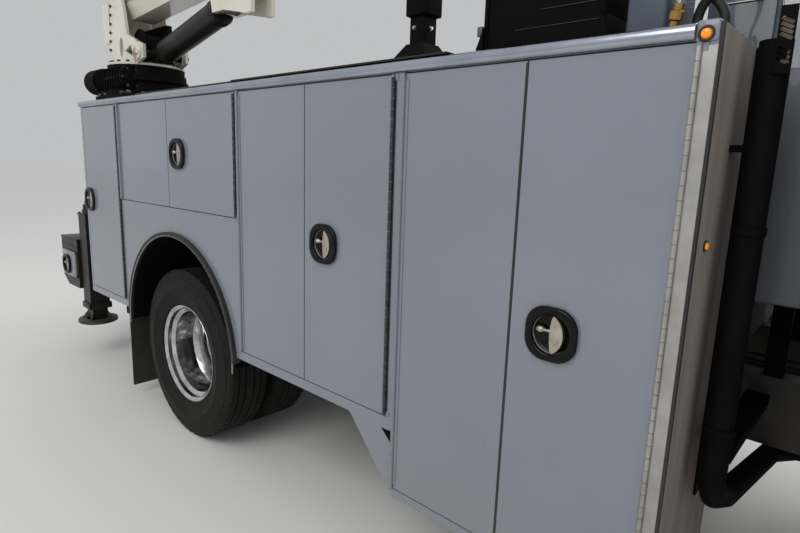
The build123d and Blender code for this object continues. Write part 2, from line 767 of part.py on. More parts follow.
# Black chest on the right pack, towards the cab
chest_low_x = body_length - 752
chest_high_x = body_length - 352
chest_height = 420
chest_depth = 380
with BuildPart() as top_chest:
    with BuildSketch(Plane.XY.offset(body_top)):
        with Locations((body_rear + (chest_low_x + chest_high_x) / 2, -side_y + 150 + chest_depth / 2)):
            Rectangle(chest_high_x - chest_low_x + 50, chest_depth + 50)
    extrude(amount=10)
    with BuildSketch(Plane.XY.offset(body_top)):
        with Locations((body_rear + (chest_low_x + chest_high_x) / 2, -side_y + 150 + chest_depth / 2)):
            Rectangle(chest_high_x - chest_low_x, chest_depth)
    extrude(amount=chest_height)
save(top_chest.part, "top_chest")

# Tall cabinet behind the right pack at the front of the bed
cabinet_depth = 220
cabinet_width = 700
cabinet_offset = 200
cabinet_x = body_front - pack_wall - cabinet_depth / 2 - 0.3
cabinet_top = 2480
with BuildPart() as tall_cabinet:
    with BuildSketch(Plane.XY.offset(floor_top)):
        with Locations((cabinet_x, -floor_half + cabinet_offset + cabinet_width / 2)):
            Rectangle(cabinet_depth, cabinet_width)
    extrude(amount=cabinet_top - floor_top)
save(tall_cabinet.part, "tall_cabinet")

# Crane base: plate, drum, and along its outboard side the worm housing with its motor
ring_height = 14
worm_y = -side_y + 90
worm_z = base_top - 84
worm_radius = 62
worm_rear = 250
worm_front = 680
motor_radius = 85
motor_rear = 90
with BuildPart() as crane_base:
    with BuildSketch(Plane.XY.offset(body_top)):
        with Locations((body_rear + crane_x, crane_y)):
            RectangleRounded(520, 520, 40)
    extrude(amount=25)
    with Locations((body_rear + crane_x, crane_y, body_top)):
        Cylinder(
            base_radius, base_top - body_top - ring_height,
            align=(Align.CENTER, Align.CENTER, Align.MIN),
        )
    with BuildSketch(Plane.YZ.offset(body_rear + worm_rear - 2)):
        with Locations((worm_y, worm_z)):
            Circle(worm_radius)
    extrude(amount=worm_front - worm_rear + 2)
    with BuildSketch(Plane.YZ.offset(body_rear + motor_rear)):
        with Locations((worm_y, worm_z - 12)):
            Circle(motor_radius)
    extrude(amount=worm_rear - motor_rear)
    with Locations((body_rear + crane_x - 40, worm_y + 50, (body_top + worm_z) / 2)):
        Box(260, 160, worm_z - body_top)
save(crane_base.part, "crane_base")

# Turret: slewing ring, two plates with their lightening holes, rear cover and the winch
crane_axis_x = body_rear + crane_x
pivot_x = body_rear + boom_pivot_x
pin_x = body_rear + lift_lower_x
turret_foot = base_top - 10
cover_height = 250
turret_outline = [
    (crane_axis_x - 210, turret_foot),
    (crane_axis_x - 210, turret_foot + 60),
    (pivot_x - 60, boom_pivot_z + 100),
    (pivot_x + 60, boom_pivot_z + 100),
    (pivot_x + 140, boom_pivot_z - 143),
    (pivot_x + 170, boom_pivot_z - 283),
    (pin_x - 40, lift_lower_z + 85),
    (pin_x + 70, lift_lower_z + 45),
    (pin_x + 70, lift_lower_z - 35),
    (pin_x - 20, turret_foot),
]
turret_window = [
    (pin_x - 100, lift_lower_z + 59),
    (pin_x - 195, lift_lower_z + 28),
    (pin_x - 80, lift_lower_z - 17),
]
with BuildPart() as turret:
    with Locations((crane_axis_x, crane_y, base_top - ring_height + 0.3)):
        Cylinder(base_radius + 5, ring_height - 0.3, align=(Align.CENTER, Align.CENTER, Align.MIN))
    for side in (-1, 1):
        face_y = crane_y + side * (turret_half_width - turret_plate / 2)
        with BuildSketch(Plane.XZ.offset(-face_y - turret_plate / 2)):
            with BuildLine():
                Polyline(*turret_outline, close=True)
            make_face()
            with BuildLine():
                Polyline(*turret_window, close=True)
            make_face(mode=Mode.SUBTRACT)
            with Locations((crane_axis_x - 30, base_top + 110)):
                Ellipse(28, 62, mode=Mode.SUBTRACT)
            with Locations((pin_x, lift_lower_z), (pivot_x, boom_pivot_z)):
                Circle(pin_radius + axle_clearance, mode=Mode.SUBTRACT)
        extrude(amount=turret_plate)
    with BuildSketch(Plane.YZ.offset(pivot_x - 200)):
        with Locations((crane_y, boom_pivot_z - 185)):
            Rectangle(2 * turret_half_width, cover_height)
    extrude(amount=106)
    with Locations((crane_axis_x - 220, crane_y, base_top)):
        Box(30, 2 * turret_half_width - 20, 360, align=(Align.CENTER, Align.CENTER, Align.MIN))
save(turret.part, "turret")

# Boom stages: hexagonal tubes, one inside the next, on one sloping line
boom_dir = Vector(cos(radians(boom_slope)), 0, sin(radians(boom_slope)))
boom_up = Vector(-sin(radians(boom_slope)), 0, cos(radians(boom_slope)))
boom_rear = boom_pivot_x + 80
boom_start = Vector(body_rear + boom_rear, crane_y, underside(boom_rear))
boom_start = boom_start + boom_up * (boom_height / 2)


def boom_section():
    """Corners of the outer stage's eight-sided section."""
    half_h = boom_height / 2
    half_w = boom_width / 2
    half_f = boom_flat / 2
    return [
        (-half_f, -half_h),
        (half_f, -half_h),
        (half_w, -half_h * 0.35),
        (half_w, half_h * 0.35),
        (half_f, half_h),
        (-half_f, half_h),
        (-half_w, half_h * 0.35),
        (-half_w, -half_h * 0.35),
    ]


ear_plate = 15
pad_length = 90
lug_plate = 24
lug_y = 62
# Stages: name, order from the outside, start and end along the boom
stages = [
    ("main_boom", 0, 0, boom_length),
    ("middle_boom", 1, 60, boom_length + 90),
    ("tip_boom", 2, 120, boom_length + 240),
]
for name, order, start, end in stages:
    outer = order * (boom_wall + stage_gap)
    plane = Plane(boom_start + boom_dir * start, x_dir=(0, 1, 0), z_dir=boom_dir)
    with BuildPart() as stage:
        with BuildSketch(plane):
            with BuildLine():
                Polyline(*boom_section(), close=True)
            make_face()
            if outer:
                offset(amount=-outer, kind=Kind.INTERSECTION, mode=Mode.REPLACE)
            offset(amount=-boom_wall, kind=Kind.INTERSECTION, mode=Mode.SUBTRACT)
        extrude(amount=end - start)
        if outer:
            with BuildSketch(plane):
                with BuildLine():
                    Polyline(*boom_section(), close=True)
                make_face()
                offset(amount=-outer + stage_gap - 0.3, kind=Kind.INTERSECTION, mode=Mode.REPLACE)
                offset(amount=-stage_gap, kind=Kind.INTERSECTION, mode=Mode.SUBTRACT)
            extrude(amount=pad_length)
        if name == "main_boom":
            for side in (-1, 1):
                ear_middle = -crane_y - side * (boom_width + ear_plate) / 2
                with BuildSketch(Plane.XZ.offset(ear_middle - ear_plate / 2)):
                    with BuildLine():
                        Polyline(
                            (pivot_x - 60, boom_pivot_z - 60),
                            (pivot_x - 60, boom_pivot_z + 60),
                            (pivot_x + 170, boom_pivot_z + 10),
                            (pivot_x + 310, boom_pivot_z + 10),
                            (pivot_x + 310, boom_pivot_z - 70),
                            (pivot_x + 170, boom_pivot_z - 70),
                            close=True,
                        )
                    make_face()
                extrude(amount=ear_plate)
                with BuildSketch(Plane.XZ.offset(-crane_y - side * lug_y - lug_plate / 2)):
                    with BuildLine():
                        Polyline(
                            (body_rear + lift_upper_x - 55, lift_upper_z - 45),
                            (body_rear + lift_upper_x - 90, underside(lift_upper_x - 90) + 5),
                            (body_rear + lift_upper_x + 330, underside(lift_upper_x + 330) + 5),
                            (body_rear + lift_upper_x + 320, lift_upper_z - 90),
                            (body_rear + lift_upper_x + 270, lift_upper_z - 90),
                            (body_rear + lift_upper_x + 60, lift_upper_z - 45),
                            close=True,
                        )
                    make_face()
                extrude(amount=lug_plate)
            with BuildSketch(Plane.XZ.offset(-crane_y - turret_half_width)):
                with Locations((pivot_x, boom_pivot_z)):
                    Circle(pin_radius)
            extrude(amount=2 * turret_half_width)
        if name == "tip_boom":
            with Locations(Location(boom_start + boom_dir * (end - 30))):
                Box(120, 110, 170)
            with Locations(Location(boom_start + boom_dir * (end + 40) - boom_up * 60)):
                Cylinder(70, 30, rotation=(90, 0, 0))
            with Locations(Location(boom_start + boom_dir * (end + 40) - Vector(0, 0, 200))):
                Box(60, 50, 160)
    save(stage.part, name)

# Lift cylinder: a barrel on the turret's ears and a rod on the boom's lug
lower_pin = Vector(body_rear + lift_lower_x, crane_y, lift_lower_z)
upper_pin = Vector(body_rear + lift_upper_x, crane_y, lift_upper_z)
lift_length = (upper_pin - lower_pin).length
lift_dir = (upper_pin - lower_pin).normalized()
barrel_start = 90
barrel_end = lift_length - 75
with BuildPart() as lift_barrel:
    with BuildSketch(Plane(lower_pin + lift_dir * barrel_start, x_dir=(0, 1, 0), z_dir=lift_dir)):
        Circle(barrel_radius)
        Circle(rod_radius + axle_clearance, mode=Mode.SUBTRACT)
    extrude(amount=barrel_end - barrel_start)
    with BuildSketch(Plane(lower_pin, x_dir=(0, 1, 0), z_dir=lift_dir)):
        Rectangle(90, 80)
    extrude(amount=barrel_start)
    with BuildSketch(Plane.XZ.offset(-crane_y - 45)):
        with Locations((lower_pin.X, lower_pin.Z)):
            Circle(50)
    extrude(amount=90)
    with BuildSketch(Plane.XZ.offset(-crane_y - turret_half_width)):
        with Locations((lower_pin.X, lower_pin.Z)):
            Circle(pin_radius)
    extrude(amount=2 * turret_half_width)
save(lift_barrel.part, "lift_barrel")

with BuildPart() as lift_rod:
    with BuildSketch(Plane(lower_pin + lift_dir * (barrel_start + 20), x_dir=(0, 1, 0), z_dir=lift_dir)):
        Circle(rod_radius)
    extrude(amount=lift_length - barrel_start - 20)
    with BuildSketch(Plane.XZ.offset(-crane_y - 42)):
        with Locations((upper_pin.X, upper_pin.Z)):
            Circle(50)
    extrude(amount=84)
    with BuildSketch(Plane.XZ.offset(-crane_y - 42)):
        with Locations((upper_pin.X, upper_pin.Z)):
            Circle(pin_radius + 5)
    extrude(amount=84, mode=Mode.SUBTRACT)
save(lift_rod.part, "lift_rod")

# Cab shell: side outline extruded, hollowed, with its windows and door openings cut
half_cab = cab_width / 2
cab_outline = [
    (0, cab_floor),
    (0, cab_roof - 100),
    (120, cab_roof),
    (900, cab_roof),
    (1060, cab_roof - 60),
    (1480, 1840),
    (1560, 1790),
    (1400, 1480),
    (1400, cab_floor),
]
cab_inner = [
    (cab_wall, cab_floor + cab_wall),
    (cab_wall, 2450),
    (140, cab_roof - cab_wall),
    (880, cab_roof - cab_wall),
    (1030, 2490),
    (1430, 1840),
    (1360, 1480),
    (1360, cab_floor + cab_wall),
]
window_low = 1820
door_window = [(190, window_low), (190, 2440), (880, 2440), (1150, window_low)]
cab_door_outline = [
    (cab_door_rear, cab_floor + 30),
    (cab_door_rear, 2500),
    (930, 2500),
    (cab_door_front, 1900),
    (cab_door_front + 60, 1760),
    (cab_door_front + 60, cab_floor + 160),
    (cab_door_front - 40, cab_floor + 30),
]
cab_hinge_radius = 14
cab_barrel = 60
cab_hinge_x = cab_back + cab_door_front + 56
cab_hinge_y = half_cab + cab_hinge_radius
cab_hinge_heights = (1350, 1700)
with BuildPart() as cab_shell:
    with BuildSketch(Plane.XZ.offset(-half_cab)):
        with BuildLine():
            Polyline(*[(cab_back + x, z) for x, z in cab_outline], close=True)
        make_face()
    extrude(amount=2 * half_cab)
    with BuildSketch(Plane.XZ.offset(-half_cab + cab_wall)):
        with BuildLine():
            Polyline(*[(cab_back + x, z) for x, z in cab_inner], close=True)
        make_face()
    extrude(amount=2 * (half_cab - cab_wall), mode=Mode.SUBTRACT)
    for wall_y in (-half_cab - 10, half_cab - cab_wall):
        with BuildSketch(Plane.XZ.offset(wall_y)):
            with BuildLine():
                Polyline(*[(cab_back + x, z) for x, z in cab_door_outline], close=True)
            make_face()
        extrude(amount=cab_wall + 10, mode=Mode.SUBTRACT)
    with BuildSketch(Plane.YZ.offset(cab_back - 10)):
        with Locations((0, 2160)):
            RectangleRounded(1300, 420, 60)
    extrude(amount=cab_wall + 20, mode=Mode.SUBTRACT)
    with BuildSketch(Plane.YZ.offset(cab_back + 1020)):
        with Locations((0, 2165)):
            RectangleRounded(1840, 560, 60)
    extrude(amount=600, mode=Mode.SUBTRACT)
    for side in (-1, 1):
        for mount_x in (150, 1250):
            with Locations((cab_back + mount_x, side * (rail_outer - 50), (rail_top + cab_floor) / 2)):
                Box(120, 90, cab_floor - rail_top)
        for hinge_z in cab_hinge_heights:
            for end in (-1, 1):
                with Locations((cab_hinge_x, side * cab_hinge_y, hinge_z + end * (cab_barrel / 2 + 10.3))):
                    Cylinder(cab_hinge_radius, 20)
                    with Locations((16, -side * (cab_hinge_radius - 4), 0)):
                        Box(32, 8, 20)
            with Locations((cab_hinge_x, side * cab_hinge_y, hinge_z)):
                Cylinder(8, cab_barrel + 20)
save(cab_shell.part, "cab_shell")

# Fixed glass of the cab: windscreen and rear window
glass_thickness = 8
with BuildPart() as cab_glass:
    with BuildSketch(Plane.YZ.offset(cab_back + 16)):
        with Locations((0, 2160)):
            RectangleRounded(1299.4, 419.4, 59)
    extrude(amount=glass_thickness)
with BuildPart() as windscreen:
    with BuildSketch(Plane.XZ.offset(-half_cab)):
        with BuildLine():
            Polyline(
                (cab_back + 1080, 2460),
                (cab_back + 1092, 2460),
                (cab_back + 1462, 1870),
                (cab_back + 1450, 1870),
                close=True,
            )
        make_face()
    extrude(amount=2 * half_cab)
    with BuildSketch(Plane.YZ.offset(cab_back + 1020)):
        with Locations((0, 2165)):
            RectangleRounded(1839.4, 559.4, 59.7)
    extrude(amount=600, mode=Mode.INTERSECT)
save(Part() + [cab_glass.part, windscreen.part], "cab_glass")

# Cab doors with their window openings and mirrors; hinged at the front edge
with BuildPart() as cab_door:
    with BuildSketch(Plane.XZ.offset(half_cab)):
        with BuildLine():
            Polyline(*[(cab_back + x, z) for x, z in cab_door_outline], close=True)
        make_face()
        offset(amount=-8, kind=Kind.INTERSECTION, mode=Mode.REPLACE)
        with BuildLine():
            Polyline(*[(cab_back + x, z) for x, z in door_window], close=True)
        make_face(mode=Mode.SUBTRACT)
    extrude(amount=-cab_wall)
    with BuildSketch(Plane.XZ.offset(half_cab)):
        with Locations((cab_back + 1140, window_low + 20)):
            Rectangle(60, 30)
    extrude(amount=170)
    with Locations((cab_back + 1140, -half_cab - 190, window_low + 250)):
        Box(70, 200, 480)
    for hinge_z in cab_hinge_heights:
        with Locations((cab_hinge_x, -cab_hinge_y, hinge_z)):
            Cylinder(cab_hinge_radius, cab_barrel)
            with Locations((-30, cab_hinge_radius - 4, 0)):
                Box(60, 8, cab_barrel)
            Cylinder(8 + axle_clearance, cab_barrel, mode=Mode.SUBTRACT)
save_pair(cab_door.part, "cab_door")

with BuildPart() as door_glass:
    with BuildSketch(Plane.XZ.offset(half_cab - 16)):
        with BuildLine():
            Polyline(*[(cab_back + x, z) for x, z in door_window], close=True)
        make_face()
        offset(amount=-0.3, kind=Kind.INTERSECTION, mode=Mode.REPLACE)
    extrude(amount=-glass_thickness)
save_pair(door_glass.part, "door_glass")

# Seats, and the dash with the steering wheel
with BuildPart() as seats:
    for seat_y in (-500, 500):
        with Locations((cab_back + 480, seat_y, cab_floor + cab_wall + 0.3)):
            Box(460, 420, 260, align=(Align.CENTER, Align.CENTER, Align.MIN))
        with Locations((cab_back + 480, seat_y, cab_floor + cab_wall + 260)):
            Box(520, 520, 130, align=(Align.CENTER, Align.CENTER, Align.MIN))
        with Locations((cab_back + 200, seat_y, cab_floor + cab_wall + 340)):
            Box(140, 500, 760, align=(Align.CENTER, Align.CENTER, Align.MIN))
save(seats.part, "seats")

with BuildPart() as dash:
    with BuildSketch(Plane.XZ.offset(-half_cab + cab_wall + 10)):
        with BuildLine():
            Polyline(
                (cab_back + 1130, 1500),
                (cab_back + 1130, 1760),
                (cab_back + 1300, 1830),
                (cab_back + 1416, 1770),
                (cab_back + 1359.7, 1480),
                close=True,
            )
        make_face()
    extrude(amount=2 * (half_cab - cab_wall - 10))
    column = Plane((cab_back + 1160, 500, 1640), z_dir=(-0.72, 0, 0.5))
    with BuildSketch(column):
        Circle(35)
    extrude(amount=330)
    with BuildSketch(Plane(column.origin + column.z_dir * 300, x_dir=(0, 1, 0), z_dir=column.z_dir)):
        Circle(225)
        Circle(200, mode=Mode.SUBTRACT)
        Rectangle(420, 50)
    extrude(amount=25)
save(dash.part, "dash")

# Hood: nose and fenders in one tilting shell, open below, with the wheel arches cut
half_hood = hood_width / 2
hood_outline = [
    (1575, 1500),
    (1575, 1785),
    (2000, 1740),
    (2450, 1620),
    (2590, 1500),
    (2620, 1000),
    (1575, 1000),
]
nose_inside = [
    (1380, 900),
    (1380, 1775),
    (1540, 1765),
    (1990, 1720),
    (2440, 1600),
    (2570, 1490),
    (2600, 1000),
    (2600, 900),
]
fender_outline = [
    (1420, 1010),
    (1420, 1100),
    (1500, 1240),
    (1700, 1310),
    (2300, 1310),
    (2560, 1200),
    (2620, 1000),
    (2620, 800),
    (2280, 800),
]
fender_inside = [
    (1380, 600),
    (1380, 1080),
    (1510, 1215),
    (1710, 1290),
    (2290, 1290),
    (2545, 1185),
    (2600, 1000),
    (2600, 600),
]
fender_arch = 610
skin = 20
nose_half = 780
with BuildPart() as hood:
    with BuildSketch(Plane.XZ.offset(-nose_half)):
        with BuildLine():
            Polyline(*[(cab_back + x, z) for x, z in hood_outline], close=True)
        make_face()
    extrude(amount=2 * nose_half)
    with BuildSketch(Plane.XZ.offset(-half_hood)):
        with BuildLine():
            Polyline(*[(cab_back + x, z) for x, z in fender_outline], close=True)
        make_face()
    extrude(amount=2 * half_hood)
    with BuildSketch(Plane.XZ.offset(-half_hood + skin)):
        with BuildLine():
            Polyline(*[(cab_back + x, z) for x, z in fender_inside], close=True)
        make_face()
    extrude(amount=2 * (half_hood - skin), mode=Mode.SUBTRACT)
    with BuildSketch(Plane.XZ.offset(-nose_half + skin)):
        with BuildLine():
            Polyline(*[(cab_back + x, z) for x, z in nose_inside], close=True)
        make_face()
    extrude(amount=2 * (nose_half - skin), mode=Mode.SUBTRACT)
    with BuildSketch(Plane.XZ.offset(-half_hood - 5)):
        with Locations((front_axle, tyre_radius)):
            Circle(fender_arch)
    extrude(amount=2 * half_hood + 10, mode=Mode.SUBTRACT)
    with BuildSketch(Plane.YZ.offset(cab_back + 2500)):
        with Locations((0, 1200)):
            RectangleRounded(1100, 480, 50)
    extrude(amount=200, mode=Mode.SUBTRACT)
    for side in (-1, 1):
        with BuildSketch(Plane.XZ.offset(-side * (hood_hinge_y + 24) - 12)):
            with Locations((hood_pivot + 15, hood_pivot_z)):
                Rectangle(60, 44)
            with Locations((hood_pivot, hood_pivot_z)):
                Circle(hood_pin + axle_clearance, mode=Mode.SUBTRACT)
        extrude(amount=24)
save(hood.part, "hood")

# Grille bars in a frame, with a headlamp each side
with BuildPart() as grille:
    with BuildSketch(Plane.YZ.offset(cab_back + 2590)):
        with Locations((0, 1200)):
            RectangleRounded(1099.4, 479.4, 50)
            RectangleRounded(1020, 400, 30, mode=Mode.SUBTRACT)
            with GridLocations(0, 80, 1, 5):
                Rectangle(1030, 24)
    extrude(amount=30)
    for side in (-1, 1):
        with BuildSketch(Plane.YZ.offset(cab_back + 2620.3)):
            with Locations((side * 870, 1000)):
                RectangleRounded(330, 190, 40)
        extrude(amount=30)
save(grille.part, "grille")

# Front bumper on brackets from the rails
bumper_height = 260
bumper_low = 480
bracket_run = 120
bracket_low = 590
bracket_high = rail_top - rail_height - 0.3
with BuildPart() as front_bumper:
    with BuildSketch(Plane.XY.offset(bumper_low)):
        with BuildLine():
            Polyline(
                (bumper_front - 40, -700),
                (bumper_front, -600),
                (bumper_front, 600),
                (bumper_front - 40, 700),
                (bumper_front - 300, half_hood - 20),
                (bumper_front - 330, half_hood - 20),
                (bumper_front - 65, 685),
                (bumper_front - 25, 590),
                (bumper_front - 25, -590),
                (bumper_front - 65, -685),
                (bumper_front - 330, -half_hood + 20),
                (bumper_front - 300, -half_hood + 20),
                close=True,
            )
        make_face()
    extrude(amount=bumper_height)
    for side in (-1, 1):
        with BuildSketch(Plane.YZ.offset(rail_front - bracket_run)):
            with Locations((side * (rail_outer - 40), (bracket_low + bracket_high) / 2)):
                Rectangle(40, bracket_high - bracket_low)
        extrude(amount=bumper_front - 15 - rail_front + bracket_run)
save(front_bumper.part, "front_bumper")

# Tank and battery box under the cab doors, each with its steps
tank_low = 520
tank_high = 980
tank_width = 560
step_y = rail_outer + tank_width + 18
step_heights = (760, 560)
with BuildPart() as side_tanks:
    for side in (-1, 1):
        with BuildSketch(Plane.YZ.offset(cab_back + 60)):
            with Locations((side * (rail_outer + 0.3 + tank_width / 2), (tank_low + tank_high) / 2)):
                RectangleRounded(tank_width, tank_high - tank_low, 120 if side > 0 else 20)
        extrude(amount=900)
        for step_z in step_heights:
            with Locations((cab_back + 510, side * step_y, step_z)):
                Box(700, 90, 30)
save(side_tanks.part, "side_tanks")

# Upright exhaust stack with its slotted guard between the body and the cab
stack_x = body_front + 95
stack_y = -1030
stack_bottom = 880
stack_top = 2150
guard_low = 1400
guard_top = 2105
guard_radius = 75
guard_wall = 6
stack_radius = 55
with BuildPart() as exhaust_stack:
    with BuildSketch(Plane.XY.offset(stack_bottom)):
        with Locations((stack_x, stack_y)):
            Circle(stack_radius)
            Circle(stack_radius - 4, mode=Mode.SUBTRACT)
    extrude(amount=stack_top - stack_bottom)
    with BuildSketch(Plane.XY.offset(guard_low)):
        with Locations((stack_x, stack_y)):
            Circle(guard_radius)
            Circle(guard_radius - guard_wall, mode=Mode.SUBTRACT)
    extrude(amount=guard_top - guard_low)
    for ring_z in (guard_low, guard_top - 20):
        with BuildSketch(Plane.XY.offset(ring_z)):
            with Locations((stack_x, stack_y)):
                Circle(guard_radius - 2)
                Circle(stack_radius - 2, mode=Mode.SUBTRACT)
        extrude(amount=20)
    with BuildSketch(Plane.XZ.offset(rail_outer + 0.3)):
        with Locations((stack_x, 930)):
            Rectangle(90, 60)
    extrude(amount=-stack_y - stack_radius + 2 - rail_outer - 0.3)
save(exhaust_stack.part, "exhaust_stack")
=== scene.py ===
"""Looks of a service truck with a telescopic crane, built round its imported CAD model.

Frame: X forward, Y to the left, Z up, in metres, origin on the ground below the middle of the truck.
Sizes in the classes are millimetres: x from the service body's rear end, inboard from its side plane, z from the
ground.
"""
import logging
import math
from dataclasses import dataclass, field
from enum import Enum
from typing import Iterable, Sequence

import bpy
from mathutils import Matrix, Vector


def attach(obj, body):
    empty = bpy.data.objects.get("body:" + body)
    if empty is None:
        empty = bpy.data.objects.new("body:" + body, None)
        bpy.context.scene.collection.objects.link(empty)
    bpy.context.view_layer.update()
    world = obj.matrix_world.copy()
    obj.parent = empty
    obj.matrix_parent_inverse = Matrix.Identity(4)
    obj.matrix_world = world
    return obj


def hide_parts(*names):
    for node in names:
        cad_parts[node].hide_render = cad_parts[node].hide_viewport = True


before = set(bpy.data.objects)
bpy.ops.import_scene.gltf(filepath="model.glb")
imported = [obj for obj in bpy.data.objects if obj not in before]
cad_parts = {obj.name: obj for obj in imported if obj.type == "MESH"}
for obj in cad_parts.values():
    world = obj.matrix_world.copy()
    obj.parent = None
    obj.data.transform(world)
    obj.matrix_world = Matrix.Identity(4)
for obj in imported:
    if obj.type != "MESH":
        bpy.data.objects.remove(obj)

LOG = logging.getLogger("service_truck")
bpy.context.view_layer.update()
MM = 0.001
BODY_REAR = -3059.5
SIDE_PLANE = 1220.0
CAB_BACK = 4400.0
REAR_AXLE = 1350.0
FRONT_AXLE = 6076.0
HUB_Z = 520.0
PACK_TOP = 2060.0
RUST_COLOUR = "#7A3F1E"
PLATE = (305.0, 152.0, 12.0)
Thing, Tree, Socket = bpy.types.Object, bpy.types.NodeTree, bpy.types.NodeSocket
AHEAD, AFT = Vector((1, 0, 0)), Vector((-1, 0, 0))
ACROSS, OUTWARD = Vector((0, 1, 0)), Vector((0, -1, 0))
UP, ORIGIN = Vector((0, 0, 1)), Vector((0, 0, 0))
RIGHT = -1
LEFT = 1
WORDS = {RIGHT: "right", LEFT: "left"}
ROOT = "truck"


def at(x: float, inboard: float, z: float, side: int = RIGHT) -> Vector:
    """Turn truck sizes into a point of the frame.

    Args:
        x: Distance forward from the rear end of the service body, in mm.
        inboard: Distance inboard from the side plane, in mm.
        z: Height above the ground, in mm.
        side: RIGHT or LEFT.

    Returns:
        The point in metres.
    """
    return Vector(((BODY_REAR + x) * MM, side * (SIDE_PLANE - inboard) * MM, z * MM))


def spot(x: float, y: float, z: float) -> Vector:
    """Point from its distance ahead of the body's rear end, its distance left of the middle and its height.

    Args:
        x: From the body's rear end, in mm.
        y: Left of the truck's middle, in mm.
        z: Above the ground, in mm.

    Returns:
        The point in the frame, in metres.
    """
    return Vector(((BODY_REAR + x) * MM, y * MM, z * MM))


def cab(x: float, y: float, z: float) -> Vector:
    """Point from its distance ahead of the cab's back, its distance left of the middle and its height, in mm."""
    return spot(CAB_BACK + x, y, z)


def linear(code: str) -> tuple[float, float, float, float]:
    """Turn an sRGB hex colour into linear values with full alpha.

    Args:
        code: The colour, such as "#808080".

    Returns:
        Red, green, blue and alpha.
    """
    parts = [int(code[i:i + 2], 16) / 255 for i in (1, 3, 5)]
    red, green, blue = (c / 12.92 if c <= 0.04045 else ((c + 0.055) / 1.055) ** 2.4 for c in parts)
    return red, green, blue, 1.0


def add_node(tree: Tree, kind: str, settings: dict | None = None) -> bpy.types.Node:
    """Add one node with its settings and links.

    Args:
        tree: The node tree.
        kind: The node's type name.
        settings: Socket names or numbers, or property names, with their values; an output socket as value is linked.

    Returns:
        The node.
    """
    made = tree.nodes.new(kind)
    for key, value in (settings or {}).items():
        if isinstance(value, Socket):
            tree.links.new(value, made.inputs[key])
        elif isinstance(key, int) or key in made.inputs:
            made.inputs[key].default_value = value
        else:
            setattr(made, key, value)
    return made


def noise(tree: Tree, place: Socket, scale: float, detail: float, roughness: float = 0.5) -> Socket:
    """Value of a noise texture at a place."""
    settings = {"Scale": scale, "Detail": detail, "Roughness": roughness, "Vector": place}
    return add_node(tree, "ShaderNodeTexNoise", settings).outputs["Fac"]


def maths(tree: Tree, operation: str, *values: float | Socket, clamp: bool = False) -> Socket:
    """Result of one sum over numbers or sockets."""
    settings = {"operation": operation, "use_clamp": clamp, **dict(enumerate(values))}
    return add_node(tree, "ShaderNodeMath", settings).outputs["Value"]


def remap(
    tree: Tree, value: Socket, source: tuple[float, float], target: tuple[float, float],
    kind: str = "LINEAR",
) -> Socket:
    """Map a value from one range to another.

    Args:
        tree: The node tree.
        value: The value.
        source: Its range.
        target: The range that it is mapped to.
        kind: The interpolation.

    Returns:
        The mapped value.
    """
    return add_node(tree, "ShaderNodeMapRange", {
        "interpolation_type": kind, "From Min": source[0], "From Max": source[1], "To Min": target[0],
        "To Max": target[1], "Value": value,
    }).outputs["Result"]


def blend(tree: Tree, share: Socket, first: object, second: object) -> Socket:
    """Mix two colours, each a value or a socket, by the share of the second."""
    return add_node(tree, "ShaderNodeMix", {"data_type": "RGBA", 0: share, 6: first, 7: second}).outputs[2]


class Grain(Enum):
    """Surface relief of a finish."""

    PEEL = "sprayed paint with its orange peel"
    PEBBLE = "textured coating"
    BRUSHED = "drawn or brushed metal"
    CAST = "cast or moulded skin"
    WOVEN = "woven cloth"


